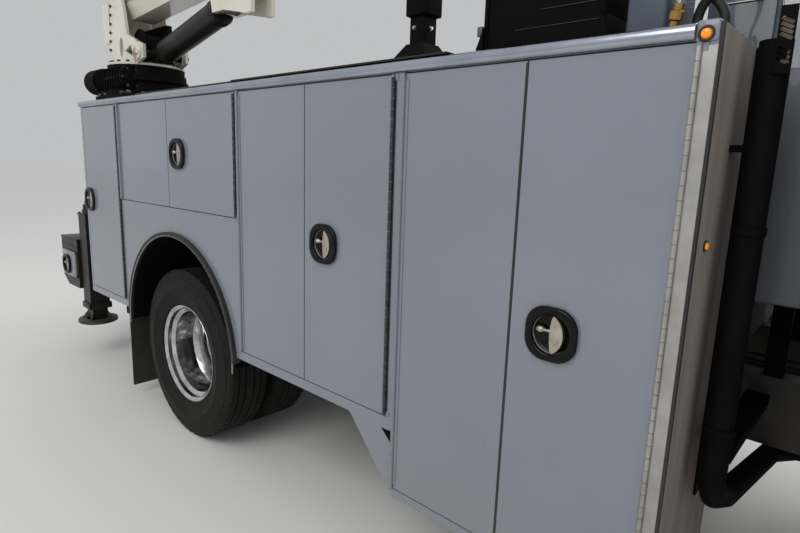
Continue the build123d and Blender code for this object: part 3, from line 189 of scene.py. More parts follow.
@dataclass(frozen=True)
class Finish:
    """One real material and how its surface was made."""

    name: str
    slot: str
    colour: str
    shade: str
    metallic: float = 0.0
    roughness: float = 0.4
    roughness_spread: float = 0.06
    coat: float = 0.0
    grain: Grain = Grain.CAST
    grain_mm: float = 1.5
    relief_mm: float = 0.05
    patch_mm: float = 260.0
    dust: float = 0.0
    dust_colour: str = "#9A9183"
    dust_height_mm: float = 5000.0
    transmission: float = 0.0
    emission: float = 0.0
    rust: tuple[tuple[float, float, float, float], ...] = ()
    specular: float = 0.5
    stretch: tuple[float, float, float] = (1.0, 1.0, 1.0)

    def material(self) -> bpy.types.Material:
        """Build the material once.

        Returns:
            The material, the same at each call.
        """
        known = bpy.data.materials.get(self.name)
        if known:
            return known
        made = bpy.data.materials.new(self.name)
        made.use_nodes = True
        tree = made.node_tree
        tree.nodes.clear()
        place = add_node(tree, "ShaderNodeTexCoord").outputs["Object"]
        bump = add_node(tree, "ShaderNodeBump", {
            "Strength": 1.0, "Distance": self.relief_mm * MM, "Height": self._relief(tree, place),
        })
        shader = add_node(tree, "ShaderNodeBsdfPrincipled", {
            "Metallic": self.metallic, "Coat Weight": self.coat, "Coat Roughness": 0.04,
            "Specular IOR Level": self.specular, "Transmission Weight": self.transmission,
            "Emission Strength": self.emission, "Emission Color": linear(self.colour),
            "Base Color": self._colour(tree, place), "Roughness": self._roughness(tree, place),
            "Normal": bump.outputs["Normal"],
        })
        add_node(tree, "ShaderNodeOutputMaterial", {"Surface": shader.outputs["BSDF"]})
        return made

    def _colour(self, tree: Tree, place: Socket) -> Socket:
        """Base colour: patches of a second shade, then dust low down and on top, then rust.

        Args:
            tree: The node tree.
            place: The point being shaded.

        Returns:
            The colour.
        """
        drawn = add_node(tree, "ShaderNodeMapping", {"Scale": self.stretch, "Vector": place}).outputs["Vector"]
        patches = noise(tree, drawn, 1000 / self.patch_mm, 5.0, 0.6)
        share = remap(tree, patches, (0.3, 0.75), (0.0, 1.0), "SMOOTHSTEP")
        colour = blend(tree, share, linear(self.colour), linear(self.shade))
        if self.dust:
            colour = blend(tree, self._dust_share(tree, place, patches), colour, linear(self.dust_colour))
        for x, y, z, reach in self.rust:
            colour = blend(tree, self._rust_share(tree, place, (x, y, z), reach), colour, linear(RUST_COLOUR))
        return colour

    def _dust_share(self, tree: Tree, place: Socket, patches: Socket) -> Socket:
        """Share of road dust, which fades upwards and also lies on faces that look up.

        Args:
            tree: The node tree.
            place: The point being shaded.
            patches: Noise that breaks the dust up.

        Returns:
            The share, 0 to 1.
        """
        height = add_node(tree, "ShaderNodeSeparateXYZ", {"Vector": place}).outputs["Z"]
        low = remap(tree, height, (0.0, self.dust_height_mm * MM), (self.dust, 0.0))
        normal = add_node(tree, "ShaderNodeNewGeometry").outputs["Normal"]
        upward = add_node(tree, "ShaderNodeSeparateXYZ", {"Vector": normal}).outputs["Z"]
        top = remap(tree, upward, (0.6, 1.0), (0.0, self.dust * 0.6))
        return maths(tree, "MULTIPLY", maths(tree, "ADD", low, top), patches, clamp=True)

    @staticmethod
    def _rust_share(tree: Tree, place: Socket, centre: tuple[float, float, float], reach: float) -> Socket:
        """Share of a rust stain with a broken edge round one point.

        Args:
            tree: The node tree.
            place: The point being shaded.
            centre: Middle of the stain, in metres.
            reach: Its radius, in metres.

        Returns:
            The share, 0 to 1.
        """
        distance = {"operation": "DISTANCE", 0: place, 1: centre}
        away = add_node(tree, "ShaderNodeVectorMath", distance).outputs["Value"]
        ragged = maths(tree, "MULTIPLY_ADD", noise(tree, place, 60.0, 6.0), reach * 1.6, -reach * 0.8)
        return remap(tree, maths(tree, "ADD", away, ragged), (reach * 0.6, reach), (0.9, 0.0))

    def _roughness(self, tree: Tree, place: Socket) -> Socket:
        """Roughness that wanders a little over the surface, as wiped and handled surfaces do.

        Args:
            tree: The node tree.
            place: The point being shaded.

        Returns:
            The roughness.
        """
        wander = noise(tree, place, 1000 / (self.patch_mm * 0.4), 4.0)
        low, high = max(0.02, self.roughness - self.roughness_spread), self.roughness + self.roughness_spread
        return remap(tree, wander, (0.2, 0.8), (low, high), "SMOOTHSTEP")

    def _relief(self, tree: Tree, place: Socket) -> Socket:
        """Height pattern of the finish's grain, scaled from its real size.

        Args:
            tree: The node tree.
            place: The point being shaded.

        Returns:
            The height, 0 to 1.
        """
        scale = 1000 / self.grain_mm
        if self.grain is Grain.BRUSHED:
            drawn = add_node(tree, "ShaderNodeMapping", {"Scale": (0.03, 1.0, 1.0), "Vector": place})
            return noise(tree, drawn.outputs["Vector"], scale, 2.0)
        if self.grain is Grain.PEBBLE:
            return add_node(tree, "ShaderNodeTexVoronoi", {"Scale": scale, "Vector": place}).outputs["Distance"]
        if self.grain is Grain.WOVEN:
            threads = {"bands_direction": "DIAGONAL", "Scale": scale / 6, "Vector": place}
            return add_node(tree, "ShaderNodeTexWave", threads).outputs["Fac"]
        return noise(tree, place, scale, 1.0 if self.grain is Grain.PEEL else 6.0)


# Two-pack enamel of the body, sprayed: an even, soft gloss with the faint ripple of its orange peel. A real ripple
# is 2 to 5 mm long, so here and on the other glossy enamels it is drawn at 7 to 9 mm to show.
# Its colour is the blue-grey that the white enamel shows in shade: painted shade.
BODY_PAINT = Finish(
    "body_gloss_enamel", "white_paint", "#7F838D", "#7A7E88", roughness=0.3, roughness_spread=0.03, coat=0.5,
    grain=Grain.PEEL, grain_mm=9, relief_mm=0.012, patch_mm=900, dust=0.3, dust_height_mm=900, specular=0.35,
)
# The same enamel in warm white on the crane: glossy, with grey dust on top and rust at the chipped pin ears
CRANE_PAINT = Finish(
    "crane_gloss_enamel", "cream_paint", "#D9D4C6", "#CFC9B8", roughness=0.32, coat=0.8, grain=Grain.PEEL,
    grain_mm=7, relief_mm=0.015, patch_mm=300, dust=0.25, dust_height_mm=5200, dust_colour="#8B8371",
    rust=((-2.37, -1.10, 2.335, 0.055), (-2.335, -1.10, 2.43, 0.03), (-2.52, -1.07, 2.86, 0.03)),
)
# Enamel on the cabinet and the locker, darkened to the blue-grey it shows in shade (painted shade): a quieter gloss
# than the body's
SLATE_SHADED_PAINT = Finish(
    "slate_enamel", "slate_paint", "#43505F", "#3D4957", roughness=0.35, coat=0.4, grain=Grain.PEEL,
    grain_mm=8, relief_mm=0.015, dust=0.08, specular=0.35,
)
# Black enamel on cylinder, outriggers and bench: thin, satin and lightly dusty
BLACK_PAINT = Finish(
    "black_enamel", "black_paint", "#0B0B0C", "#101011", roughness=0.46, coat=0.08,
    grain_mm=4, relief_mm=0.03, dust=0.1, dust_height_mm=5200, dust_colour="#77705F", specular=0.3,
)
# Enamel on the cooler behind the cab, darkened to the slate grey it shows in deep shade (painted shade): dull, with
# rust coming through in spots
RUSTED_SHADED_SLATE = Finish(
    "rusted_slate_enamel", "slate_paint", "#4B5058", "#43474E", roughness=0.5, coat=0.2, grain=Grain.PEEL,
    grain_mm=8, relief_mm=0.04, dust=0.15,
    rust=((1.0905, -0.167, 1.59, 0.05), (1.0905, -0.42, 1.52, 0.03), (1.0905, -0.24, 1.53, 0.03)),
)
# Worn steel under tan dust behind the slotted plate, a matt, mottled brown-grey; its pale tan also stands in for the
# light seen through the slots: painted light
DUSTY_STEEL_AND_SLOT_LIGHT = Finish(
    "dusty_worn_steel", "black_paint", "#5B544A", "#857A68", metallic=0.2, roughness=0.7,
    grain_mm=5, relief_mm=0.12, patch_mm=60, dust=0.6, dust_colour="#9B8E78",
)
# Turned yellow brass of the air coupler: warm and half bright. Tool marks are drawn at 1 mm to show.
BRASS = Finish(
    "machined_brass", "chrome", "#B08D4A", "#9C7A3C", metallic=1.0, roughness=0.3, grain=Grain.BRUSHED, grain_mm=1,
    relief_mm=0.01, patch_mm=20, dust=0.2,
)
# Sprayed polyurea liner: hard black pebbles that hold grey dust. Real ones are about 3 mm across, drawn at 6 mm to
# show.
LINER = Finish(
    "sprayed_liner", "black_paint", "#2A2826", "#35322E", roughness=0.72, grain=Grain.PEBBLE, grain_mm=6,
    relief_mm=0.9, patch_mm=350, dust=0.45, dust_height_mm=2600, dust_colour="#6E675C",
)
# Chassis enamel under road film: black gone matt and brown
CHASSIS_PAINT = Finish(
    "chassis_enamel", "chassis_black", "#141414", "#211F1C", roughness=0.55, grain_mm=6,
    relief_mm=0.08, dust=0.5, dust_height_mm=1300, dust_colour="#6B6152",
)
# Rolled aluminium, polished to a soft mirror with lines along its length. Real lines are finer than 0.1 mm, so here
# and on the other drawn metals they are drawn at 1 to 2 mm to show.
POLISHED = Finish(
    "polished_aluminium", "aluminium", "#D4D5D6", "#C4C5C7", metallic=1.0, roughness=0.16, roughness_spread=0.05,
    grain=Grain.BRUSHED, grain_mm=1.2, relief_mm=0.004, patch_mm=120,
)
# Stainless hinge strip, ground: pale and dull, with lines along it
STAINLESS = Finish(
    "ground_stainless", "aluminium", "#B5B3AE", "#A3A19B", metallic=1.0, roughness=0.34, grain=Grain.BRUSHED,
    grain_mm=1.5, relief_mm=0.01, patch_mm=90, dust=0.3, dust_height_mm=1500,
)
# Forged wheel aluminium, polished: mirror bright, with a film of brake dust in patches
WHEEL_METAL = Finish(
    "polished_wheel_aluminium", "aluminium", "#CFD0D2", "#A9A9A8", metallic=1.0, roughness=0.14,
    roughness_spread=0.06, grain_mm=3, relief_mm=0.01, patch_mm=60, dust=0.25,
    dust_height_mm=1200,
)
# Chrome plate on handles and cylinder rod: a clear mirror
CHROME = Finish(
    "chrome_plate", "chrome", "#E2E4E6", "#D5D6D8", metallic=1.0, roughness=0.07, roughness_spread=0.03,
    grain_mm=2, relief_mm=0.002, patch_mm=25,
)
# Tyre rubber: brown-black, matt, with a grey bloom; its black is deepened to the dark it shows in shade: painted shade
TYRE_RUBBER = Finish(
    "tyre_rubber", "tyre", "#090909", "#12110F", roughness=0.72, grain_mm=2, relief_mm=0.15,
    patch_mm=70, dust=0.16, dust_height_mm=1300, dust_colour="#4C463C", specular=0.25,
)
# Moulded rubber of flares, flaps and hoses: matt black, greyed by dust
RUBBER = Finish(
    "moulded_rubber", "rubber", "#161617", "#1F1F1F", roughness=0.6, grain_mm=3,
    relief_mm=0.06, dust=0.35, dust_height_mm=1500, dust_colour="#6A6356",
)
# Injection moulded plastic with a satin skin
PLASTIC = Finish(
    "moulded_plastic", "dark_plastic", "#1B1C1E", "#222325", roughness=0.45, grain_mm=1.2,
    relief_mm=0.05, dust=0.12,
)
# Gloss black plastic of the latch bowls: moulded, deep and smooth
GLOSS_PLASTIC = Finish(
    "gloss_black_plastic", "dark_plastic", "#040404", "#060606", roughness=0.26, grain_mm=4, relief_mm=0.006,
    specular=0.2,
)
# Dull nickel of the latch paddles, handled and filmed with dust; its beige tint is a painted reflection of the ground
NICKEL = Finish(
    "dull_nickel_plate", "chrome", "#BDB6A8", "#A69F91", metallic=0.85, roughness=0.33, grain_mm=2,
    relief_mm=0.01, patch_mm=30, dust=0.3,
)
# Plated hinge strip, darkened to the dark grey it shows along the shaded side: painted shade
SHADED_HINGE = Finish(
    "dulled_zinc_hinge", "aluminium", "#43464B", "#2E3034", metallic=0.5, roughness=0.5, grain_mm=2,
    relief_mm=0.02, patch_mm=40,
)
# Flat black enamel of the chest, the boom rest, the drum and the exhaust, darkened and too matt to mirror the lamps, as
# these parts look in shade: partly their black, partly painted shade
FLAT_BLACK_AND_SHADE = Finish(
    "flat_black_enamel", "black_paint", "#060606", "#090909", roughness=0.75, grain_mm=4,
    relief_mm=0.03, specular=0.08,
)
# Sprayed black liner of the front end, lightened to the grey it shows in sunlight (painted light), under road film that
# has run down in pale streaks
SUNLIT_FILMED_LINER = Finish(
    "sprayed_liner_under_road_film", "black_paint", "#78716A", "#8C857E", roughness=0.8, grain=Grain.PEBBLE, grain_mm=6,
    relief_mm=0.3, patch_mm=70, specular=0.2, stretch=(1.0, 1.0, 0.08),
)
# Rolled aluminium of the top rails, dulled and blued by weather
RAIL_METAL = Finish(
    "weathered_rail_aluminium", "aluminium", "#A9AFB9", "#9BA1AB", metallic=1.0, roughness=0.22, roughness_spread=0.05,
    grain=Grain.BRUSHED, grain_mm=1.2, relief_mm=0.004, patch_mm=160,
)
# Tinted laminated glass: clear, with a breath of green
GLASS = Finish(
    "laminated_glass", "glass", "#C9D6D2", "#C2D0CC", roughness=0.03, roughness_spread=0.01, transmission=0.92,
    grain=Grain.PEEL, grain_mm=60, relief_mm=0.004,
)
# Lamp lenses of moulded polycarbonate: glossy and deep in colour, as if faintly lit
AMBER = Finish(
    "amber_lens", "dark_plastic", "#F08A14", "#E07A0C", roughness=0.14, coat=0.6, emission=0.35, grain_mm=3,
    relief_mm=0.05,
)
# The same in red for the tail lamps and the rear markers
RED_LENS = Finish(
    "red_lens", "dark_plastic", "#A3120F", "#8F0E0C", roughness=0.14, coat=0.6, emission=0.1, grain_mm=3,
    relief_mm=0.05,
)
# The same without colour for the headlamps and the reversing lamps
CLEAR_LENS = Finish(
    "clear_lens", "glass", "#E8ECEE", "#DDE3E6", roughness=0.08, coat=0.6, transmission=0.5, grain_mm=5,
    relief_mm=0.05,
)
# Silvered glass of the mirrors: a perfect reflection
MIRROR = Finish("mirror_glass", "chrome", "#DCE3E6", "#D8DFE2", metallic=1.0, roughness=0.02, roughness_spread=0.01)
# Woven seat cloth: soft and matt, with its threads drawn every 5 mm to show, where real ones lie 1 mm apart
SEAT_CLOTH = Finish(
    "woven_seat_cloth", "fabric", "#4A4D52", "#3E4146", roughness=0.9, grain=Grain.WOVEN, grain_mm=5,
    relief_mm=0.5, patch_mm=180,
)
# Grey oiled steel of bolts, nuts, hook and vice: dark, with a low shine
BARE_STEEL = Finish(
    "oiled_steel", "chassis_black", "#55524D", "#3F3B37", metallic=0.85, roughness=0.42,
    grain_mm=3, relief_mm=0.08, patch_mm=50,
)


def deselect() -> None:
    """Deselect everything, so that an operator acts on the new primitive alone."""
    for other in bpy.context.selected_objects:
        other.select_set(False)


def work_on(thing: Thing) -> None:
    """Select one object alone and make it active.

    Args:
        thing: The object.
    """
    deselect()
    thing.select_set(True)
    bpy.context.view_layer.objects.active = thing


def added(name: str) -> Thing:
    """Name the object that an operator has just added, and return it.

    Args:
        name: Its name.

    Returns:
        The object.
    """
    made = bpy.context.active_object
    made.name = name
    return made


def placed(made: Thing) -> Thing:
    """Link a new object to the scene, and return it."""
    bpy.context.scene.collection.objects.link(made)
    return made


def press(thing: Thing) -> Thing:
    """Put an object's place, turn and scale into its mesh.

    Args:
        thing: The object.

    Returns:
        The same object.
    """
    work_on(thing)
    bpy.ops.object.transform_apply(location=True, rotation=True, scale=True)
    return thing


def with_modifier(thing: Thing, kind: str, **settings: object) -> Thing:
    """Add a modifier and apply it.

    Args:
        thing: The object.
        kind: The modifier's type.
        **settings: The modifier's properties.

    Returns:
        The same object.
    """
    work_on(thing)
    made = thing.modifiers.new(kind.lower(), kind)
    for key, value in settings.items():
        setattr(made, key, value)
    bpy.ops.object.modifier_apply(modifier=made.name)
    return thing


def eased(thing: Thing, width: float, steps: int = 2, angle: float = 35.0) -> Thing:
    """Round the sharp edges of a piece by a bevel of that width in mm.

    Args:
        thing: The piece.
        width: Width of the bevel, in mm; 0 leaves the piece as it is.
        steps: Segments of the bevel.
        angle: Edges sharper than this, in degrees, are rounded.

    Returns:
        The same piece.
    """
    if not width:
        return thing
    return with_modifier(
        thing, "BEVEL", width=width * MM, segments=steps, limit_method="ANGLE", angle_limit=math.radians(angle),
        use_clamp_overlap=True,
    )


def block(name: str, low: Vector, high: Vector, ease: float = 3.0, steps: int = 2) -> Thing:
    """A block between two corners, with its edges rounded.

    Args:
        name: The piece's name.
        low: One corner, in metres.
        high: The opposite corner, in metres.
        ease: Width of the rounding, in mm.
        steps: Segments of the rounding.

    Returns:
        The object.
    """
    deselect()
    size = [abs(a - b) for a, b in zip(low, high)]
    bpy.ops.mesh.primitive_cube_add(size=1, location=(low + high) / 2, scale=size)
    made = added(name)
    return eased(press(made), ease, steps)


def rod(name: str, start: Vector, end: Vector, radius: float, ease: float = 1.0, sides: int = 28) -> Thing:
    """A round bar between two points, its ends rounded.

    Args:
        name: The piece's name.
        start: Middle of one end, in metres.
        end: Middle of the other end, in metres.
        radius: In mm.
        ease: Width of the rounding at the ends, in mm.
        sides: Number of sides.

    Returns:
        The object.
    """
    deselect()
    run = end - start
    middle = (start + end) / 2
    bpy.ops.mesh.primitive_cylinder_add(vertices=sides, radius=radius * MM, depth=run.length, location=middle)
    made = added(name)
    made.rotation_mode = "QUATERNION"
    made.rotation_quaternion = run.to_track_quat("Z", "Y")
    return eased(press(made), ease, 2, 50)


def prism(name: str, corners: Sequence[Vector], run: Vector, ease: float = 0.0, steps: int = 2) -> Thing:
    """A flat outline pulled along a straight run.

    Args:
        name: The piece's name.
        corners: The outline's corners in order, in metres.
        run: The pull, in metres.
        ease: Width of the rounding, in mm.
        steps: Segments of the rounding.

    Returns:
        The object.
    """
    deselect()
    bpy.ops.mesh.primitive_circle_add(vertices=len(corners), radius=1, fill_type="NGON")
    made = added(name)
    for corner, point in zip(made.data.vertices, corners):
        corner.co = point
    bpy.ops.object.mode_set(mode="EDIT")
    bpy.ops.mesh.select_all(action="SELECT")
    bpy.ops.mesh.extrude_region_move(TRANSFORM_OT_translate={"value": run})
    bpy.ops.mesh.select_all(action="SELECT")
    bpy.ops.mesh.normals_make_consistent(inside=False)
    bpy.ops.object.mode_set(mode="OBJECT")
    return eased(made, ease, steps)


def turned(
    name: str, section: Sequence[tuple[float, float]], centre: Vector, axis: Vector, steps: int = 64, ease: float = 0.0,
) -> Thing:
    """A closed section spun once round an axis.

    Args:
        name: The piece's name.
        section: Corners as radius and distance along the axis, in mm.
        centre: Point on the axis that the distances count from, in metres.
        axis: Direction of the axis.
        steps: Segments of the turn.
        ease: Width of the rounding, in mm.

    Returns:
        The object.
    """
    deselect()
    bpy.ops.mesh.primitive_circle_add(vertices=len(section), radius=1, fill_type="NOTHING")
    made = added(name)
    for corner, (radius, along) in zip(made.data.vertices, section):
        corner.co = Vector((radius * MM, 0, along * MM))
    bpy.ops.object.mode_set(mode="EDIT")
    bpy.ops.mesh.select_all(action="SELECT")
    bpy.ops.mesh.spin(steps=steps, angle=math.tau, center=(0, 0, 0), axis=(0, 0, 1))
    bpy.ops.mesh.select_all(action="SELECT")
    bpy.ops.mesh.remove_doubles(threshold=0.00002)
    bpy.ops.mesh.normals_make_consistent(inside=False)
    bpy.ops.object.mode_set(mode="OBJECT")
    made.rotation_mode = "QUATERNION"
    made.rotation_quaternion = axis.to_track_quat("Z", "X")
    made.location = centre
    return eased(press(made), ease, 2, 40)


def pipe(name: str, points: Sequence[Vector], radius: float, closed: bool = False, sides: int = 3) -> Thing:
    """A bent tube through points, as a mesh with closed ends.

    Args:
        name: The piece's name.
        points: The route, in metres.
        radius: In mm.
        closed: Whether it ends where it starts.
        sides: Bevel resolution, each step adding four sides.

    Returns:
        The object.
    """
    curve = bpy.data.curves.new(name, "CURVE")
    curve.dimensions = "3D"
    curve.bevel_depth = radius * MM
    curve.bevel_resolution = sides
    curve.use_fill_caps = True
    line = curve.splines.new("POLY")
    line.points.add(len(points) - 1)
    for knot, point in zip(line.points, points):
        knot.co = (*point, 1)
    line.use_cyclic_u = closed
    made = placed(bpy.data.objects.new(name, curve))
    work_on(made)
    bpy.ops.object.convert(target="MESH")
    return bpy.context.active_object


def joined(name: str, things: Iterable[Thing]) -> Thing:
    """Join objects into one piece of that name.

    Args:
        name: The piece's name.
        things: The objects.

    Returns:
        The joined object.
    """
    group = list(things)
    work_on(group[0])
    for thing in group:
        thing.select_set(True)
    if len(group) > 1:
        bpy.ops.object.join()
    made = added(name)
    return made


def copies(name: str, pattern: Thing, places: Iterable[Matrix], keep: bool = False) -> Thing:
    """Copy a pattern to each place, each copy with its own mesh, and join the copies.

    Args:
        name: The piece's name.
        pattern: The object that is copied.
        places: Where each copy goes, from the pattern's own place.
        keep: Whether the pattern stays for later copies.

    Returns:
        The joined object.
    """
    made = []
    for place in places:
        twin = pattern.copy()
        twin.data = pattern.data.copy()
        twin.data.transform(place)
        if place.determinant() < 0:
            twin.data.flip_normals()
        made.append(placed(twin))
    if not keep:
        bpy.data.objects.remove(pattern)
    return joined(name, made)


def cut(thing: Thing, cutter: Thing) -> Thing:
    """Cut one object out of another and remove the cutter.

    Args:
        thing: The object that is cut.
        cutter: The object that is cut out and removed.

    Returns:
        The cut object.
    """
    with_modifier(thing, "BOOLEAN", object=cutter, operation="DIFFERENCE", solver="EXACT")
    bpy.data.objects.remove(cutter)
    return thing


def settle(thing: Thing, finish: Finish, body: str, smooth: float = 35.0, replaces: Sequence[str] = ()) -> Thing:
    """Give a piece its finish and its body.

    Args:
        thing: The piece.
        finish: Its finish.
        body: The CAD body it rides on.
        smooth: Faces that meet below this angle, in degrees, are shaded smooth.
        replaces: CAD nodes that it stands for.

    Returns:
        The piece.
    """
    press(thing)
    thing.data.materials.clear()
    thing.data.materials.append(finish.material())
    bpy.ops.object.shade_smooth_by_angle(angle=math.radians(smooth))
    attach(thing, body)
    if replaces:
        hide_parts(*replaces)
    LOG.info("piece %s on %s", thing.name, body)
    return thing


def piece(
    name: str, things: Iterable[Thing], finish: Finish, body: str, smooth: float = 35.0,
    replaces: Sequence[str] = (),
) -> Thing:
    """Join objects into one piece and give it its finish and its body, as settle does."""
    return settle(joined(name, things), finish, body, smooth, replaces)


def hex_head(name: str, across: float, height: float) -> Thing:
    """A hexagon bolt head on its washer at the origin, pointing along Z, sizes in mm.

    Args:
        name: The object's name.
        across: Size across the flats.
        height: Height of the head.

    Returns:
        The head.
    """
    washer = turned(
        f"{name}_washer", [(0, 0), (across * 0.68, 0), (across * 0.68, height * 0.22), (0, height * 0.22)],
        ORIGIN, UP, 12,
    )
    deselect()
    bpy.ops.mesh.primitive_cylinder_add(
        vertices=6, radius=across * 0.577 * MM, depth=height * MM, location=(0, 0, height * 0.6 * MM),
    )
    head = eased(press(bpy.context.active_object), height * 0.12, 1, 50)
    return joined(name, [washer, head])


def turn_to(direction: Vector, place: Vector, spin: float = 0.0) -> Matrix:
    """Matrix that takes Z to a direction and the origin to a place."""
    turn = direction.to_track_quat("Z", "Y").to_matrix().to_4x4()
    return Matrix.Translation(place) @ turn @ Matrix.Rotation(spin, 4, "Z")


def bolts(
    name: str, places: Sequence[Vector], direction: Vector, across: float, height: float, finish: Finish, body: str,
) -> Thing:
    """Hexagon bolt heads at places, as one piece.

    Args:
        name: The piece's name.
        places: Middle of each head's seat, in metres.
        direction: The way that the heads face.
        across: Size across the flats, in mm.
        height: Height of a head, in mm.
        finish: Their finish.
        body: The CAD body they ride on.

    Returns:
        The piece.
    """
    pattern = hex_head(f"{name}_pattern", across, height)
    heads = copies(name, pattern, [turn_to(direction, p, 0.4 * i) for i, p in enumerate(places)])
    return settle(heads, finish, body)


def ring_places(centre: Vector, axis: Vector, radius: float, count: int, start: float = 0.0) -> list[Vector]:
    """Points evenly round a circle.

    Args:
        centre: In metres.
        axis: The circle's axis.
        radius: In mm.
        count: Number of points.
        start: Angle of the first point, in radians.

    Returns:
        The points.
    """
    turn = axis.to_track_quat("Z", "Y")
    spots = []
    for i in range(count):
        angle = start + math.tau * i / count
        spots.append(centre + turn @ (Vector((math.cos(angle), math.sin(angle), 0)) * radius * MM))
    return spots


def rounded_outline(width: float, height: float, radius: float, steps: int = 6) -> list[tuple[float, float]]:
    """Corners of a rectangle with rounded corners about its middle, in the units given.

    Args:
        width: Of the rectangle.
        height: Of the rectangle.
        radius: Of its corners.
        steps: Segments of each corner.

    Returns:
        The corners, from the top right one on.
    """
    outline = []
    for corner, (sx, sz) in enumerate(((1, 1), (-1, 1), (-1, -1), (1, -1))):
        for i in range(steps + 1):
            angle = math.pi / 2 * (corner + i / steps)
            outline.append((
                sx * (width / 2 - radius) + radius * math.cos(angle),
                sz * (height / 2 - radius) + radius * math.sin(angle),
            ))
    return outline


def oval(
    middle: Vector, width: float, height: float, radius: float, ahead: float = 0.0, steps: int = 6,
) -> list[Vector]:
    """Corners of a rounded rectangle that faces along X, sizes in mm.

    Args:
        middle: Its middle, in metres.
        width: Across the truck.
        height: Upwards.
        radius: Of its corners.
        ahead: How far it is moved forward.
        steps: Segments of each corner.

    Returns:
        The corners.
    """
    return [middle + Vector((ahead, u, w)) * MM for u, w in rounded_outline(width, height, radius, steps)]


def cord_curve(name: str, points: Sequence[Vector], radius: float) -> tuple[Thing, float]:
    """A hose as a smooth curve whose control points are the route.

    Args:
        name: The piece's name.
        points: The route, in metres.
        radius: In mm.

    Returns:
        The curve object and its length in metres.
    """
    curve = bpy.data.curves.new(name, "CURVE")
    curve.dimensions = "3D"
    curve.resolution_u = 16
    line = curve.splines.new("NURBS")
    line.points.add(len(points) - 1)
    for knot, point in zip(line.points, points):
        knot.co = (*point, 1)
    line.order_u = 3
    line.use_endpoint_u = True
    made = placed(bpy.data.objects.new(name, curve))
    bpy.context.view_layer.update()
    centreline = bpy.data.meshes.new_from_object(made)
    spots = [v.co.copy() for v in centreline.vertices]
    bpy.data.meshes.remove(centreline)
    curve.bevel_depth = radius * MM
    curve.bevel_resolution = 4
    curve.use_fill_caps = True
    return made, sum((b - a).length for a, b in zip(spots, spots[1:]))


def free_hose(name: str, points: Sequence[Vector], radius: float, body: str) -> None:
    """A hose that hangs free between two fittings of one body, declared with its length.

    Args:
        name: The piece's name.
        points: The route, in metres, from its first fitting to its second.
        radius: In mm.
        body: The CAD body it rides on.
    """
    hose, length = cord_curve(name, points, radius)
    hose.data.materials.append(RUBBER.material())
    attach(hose, body)
    LOG.info("piece %s on %s, %.3f m long", name, body, length)


@dataclass
class Studio:
    """Floor, lamps and the camera at the photograph's viewing angle."""

    lens_mm: float = 25.0
    camera_place: tuple[float, float, float] = (1.4145, -2.7135, 1.719)
    yaw: float = 42.01
    pitch: float = 10.71
    roll: float = 1.9155
    floor_half: float = 60.0
    world_level: float = 0.72

    def camera(self) -> None:
        """Place the camera."""
        yaw, pitch, roll = (math.radians(a) for a in (self.yaw, self.pitch, self.roll))
        right = Vector((math.cos(yaw), math.sin(yaw), 0))
        ahead = Vector((-math.sin(yaw) * math.cos(pitch), math.cos(yaw) * math.cos(pitch), -math.sin(pitch)))
        up = right.cross(ahead)
        turned_right = right * math.cos(roll) + up * math.sin(roll)
        turned_up = -right * math.sin(roll) + up * math.cos(roll)
        data = bpy.data.cameras.new("photo_camera")
        data.lens = self.lens_mm
        data.sensor_width = 36
        data.clip_start, data.clip_end = 0.05, 200
        made = bpy.data.objects.new("photo_camera", data)
        bpy.context.scene.collection.objects.link(made)
        turn = Matrix((turned_right, turned_up, -ahead)).transposed().to_4x4()
        made.matrix_world = Matrix.Translation(Vector(self.camera_place)) @ turn
        bpy.context.scene.camera = made

    def floor(self) -> None:
        """Lay the pale floor."""
        deselect()
        bpy.ops.mesh.primitive_plane_add(size=2 * self.floor_half, location=(0, 0, 0))
        floor = bpy.context.active_object
        floor.name = "studio_floor"
        made = bpy.data.materials.new("pale_floor")
        made.use_nodes = True
        tree = made.node_tree
        tree.nodes.clear()
        shader = add_node(tree, "ShaderNodeBsdfPrincipled", {"Base Color": linear("#E4E2DE"), "Roughness": 0.85})
        add_node(tree, "ShaderNodeOutputMaterial", {"Surface": shader.outputs["BSDF"]})
        floor.data.materials.append(made)

    def light(self) -> None:
        """Set the world's even light and two soft lamps."""
        world = bpy.data.worlds.new("studio_world")
        bpy.context.scene.world = world
        world.use_nodes = True
        tree = world.node_tree
        tree.nodes.clear()
        rays = add_node(tree, "ShaderNodeLightPath").outputs
        seen = maths(tree, "MAXIMUM", rays["Is Camera Ray"], rays["Is Transmission Ray"])
        ambient = add_node(tree, "ShaderNodeBackground", {"Color": linear("#F4F6FA"), "Strength": self.world_level})
        shown = add_node(tree, "ShaderNodeBackground", {"Color": linear("#BFC0C1"), "Strength": 1.0})
        mixed = add_node(tree, "ShaderNodeMixShader", {
            0: seen, 1: ambient.outputs["Background"], 2: shown.outputs["Background"],
        })
        add_node(tree, "ShaderNodeOutputWorld", {"Surface": mixed.outputs["Shader"]})
        for name, place, size, power in (
            ("key_softbox", (0.5, -8.5, 8.0), 6.0, 400.0),
            ("rim_softbox", (5.0, 7.0, 7.0), 6.0, 380.0),
        ):
            lamp = bpy.data.lights.new(name, "AREA")
            lamp.size = size
            lamp.energy = power
            made = placed(bpy.data.objects.new(name, lamp))
            made.location = place
            made.rotation_mode = "QUATERNION"
            made.rotation_quaternion = (Vector((0, 0, 1.2)) - Vector(place)).to_track_quat("-Z", "Y")
        bpy.context.scene.view_settings.view_transform = "Standard"

    def build(self) -> None:
        """Build the whole studio."""
        self.camera()
        self.floor()
        self.light()


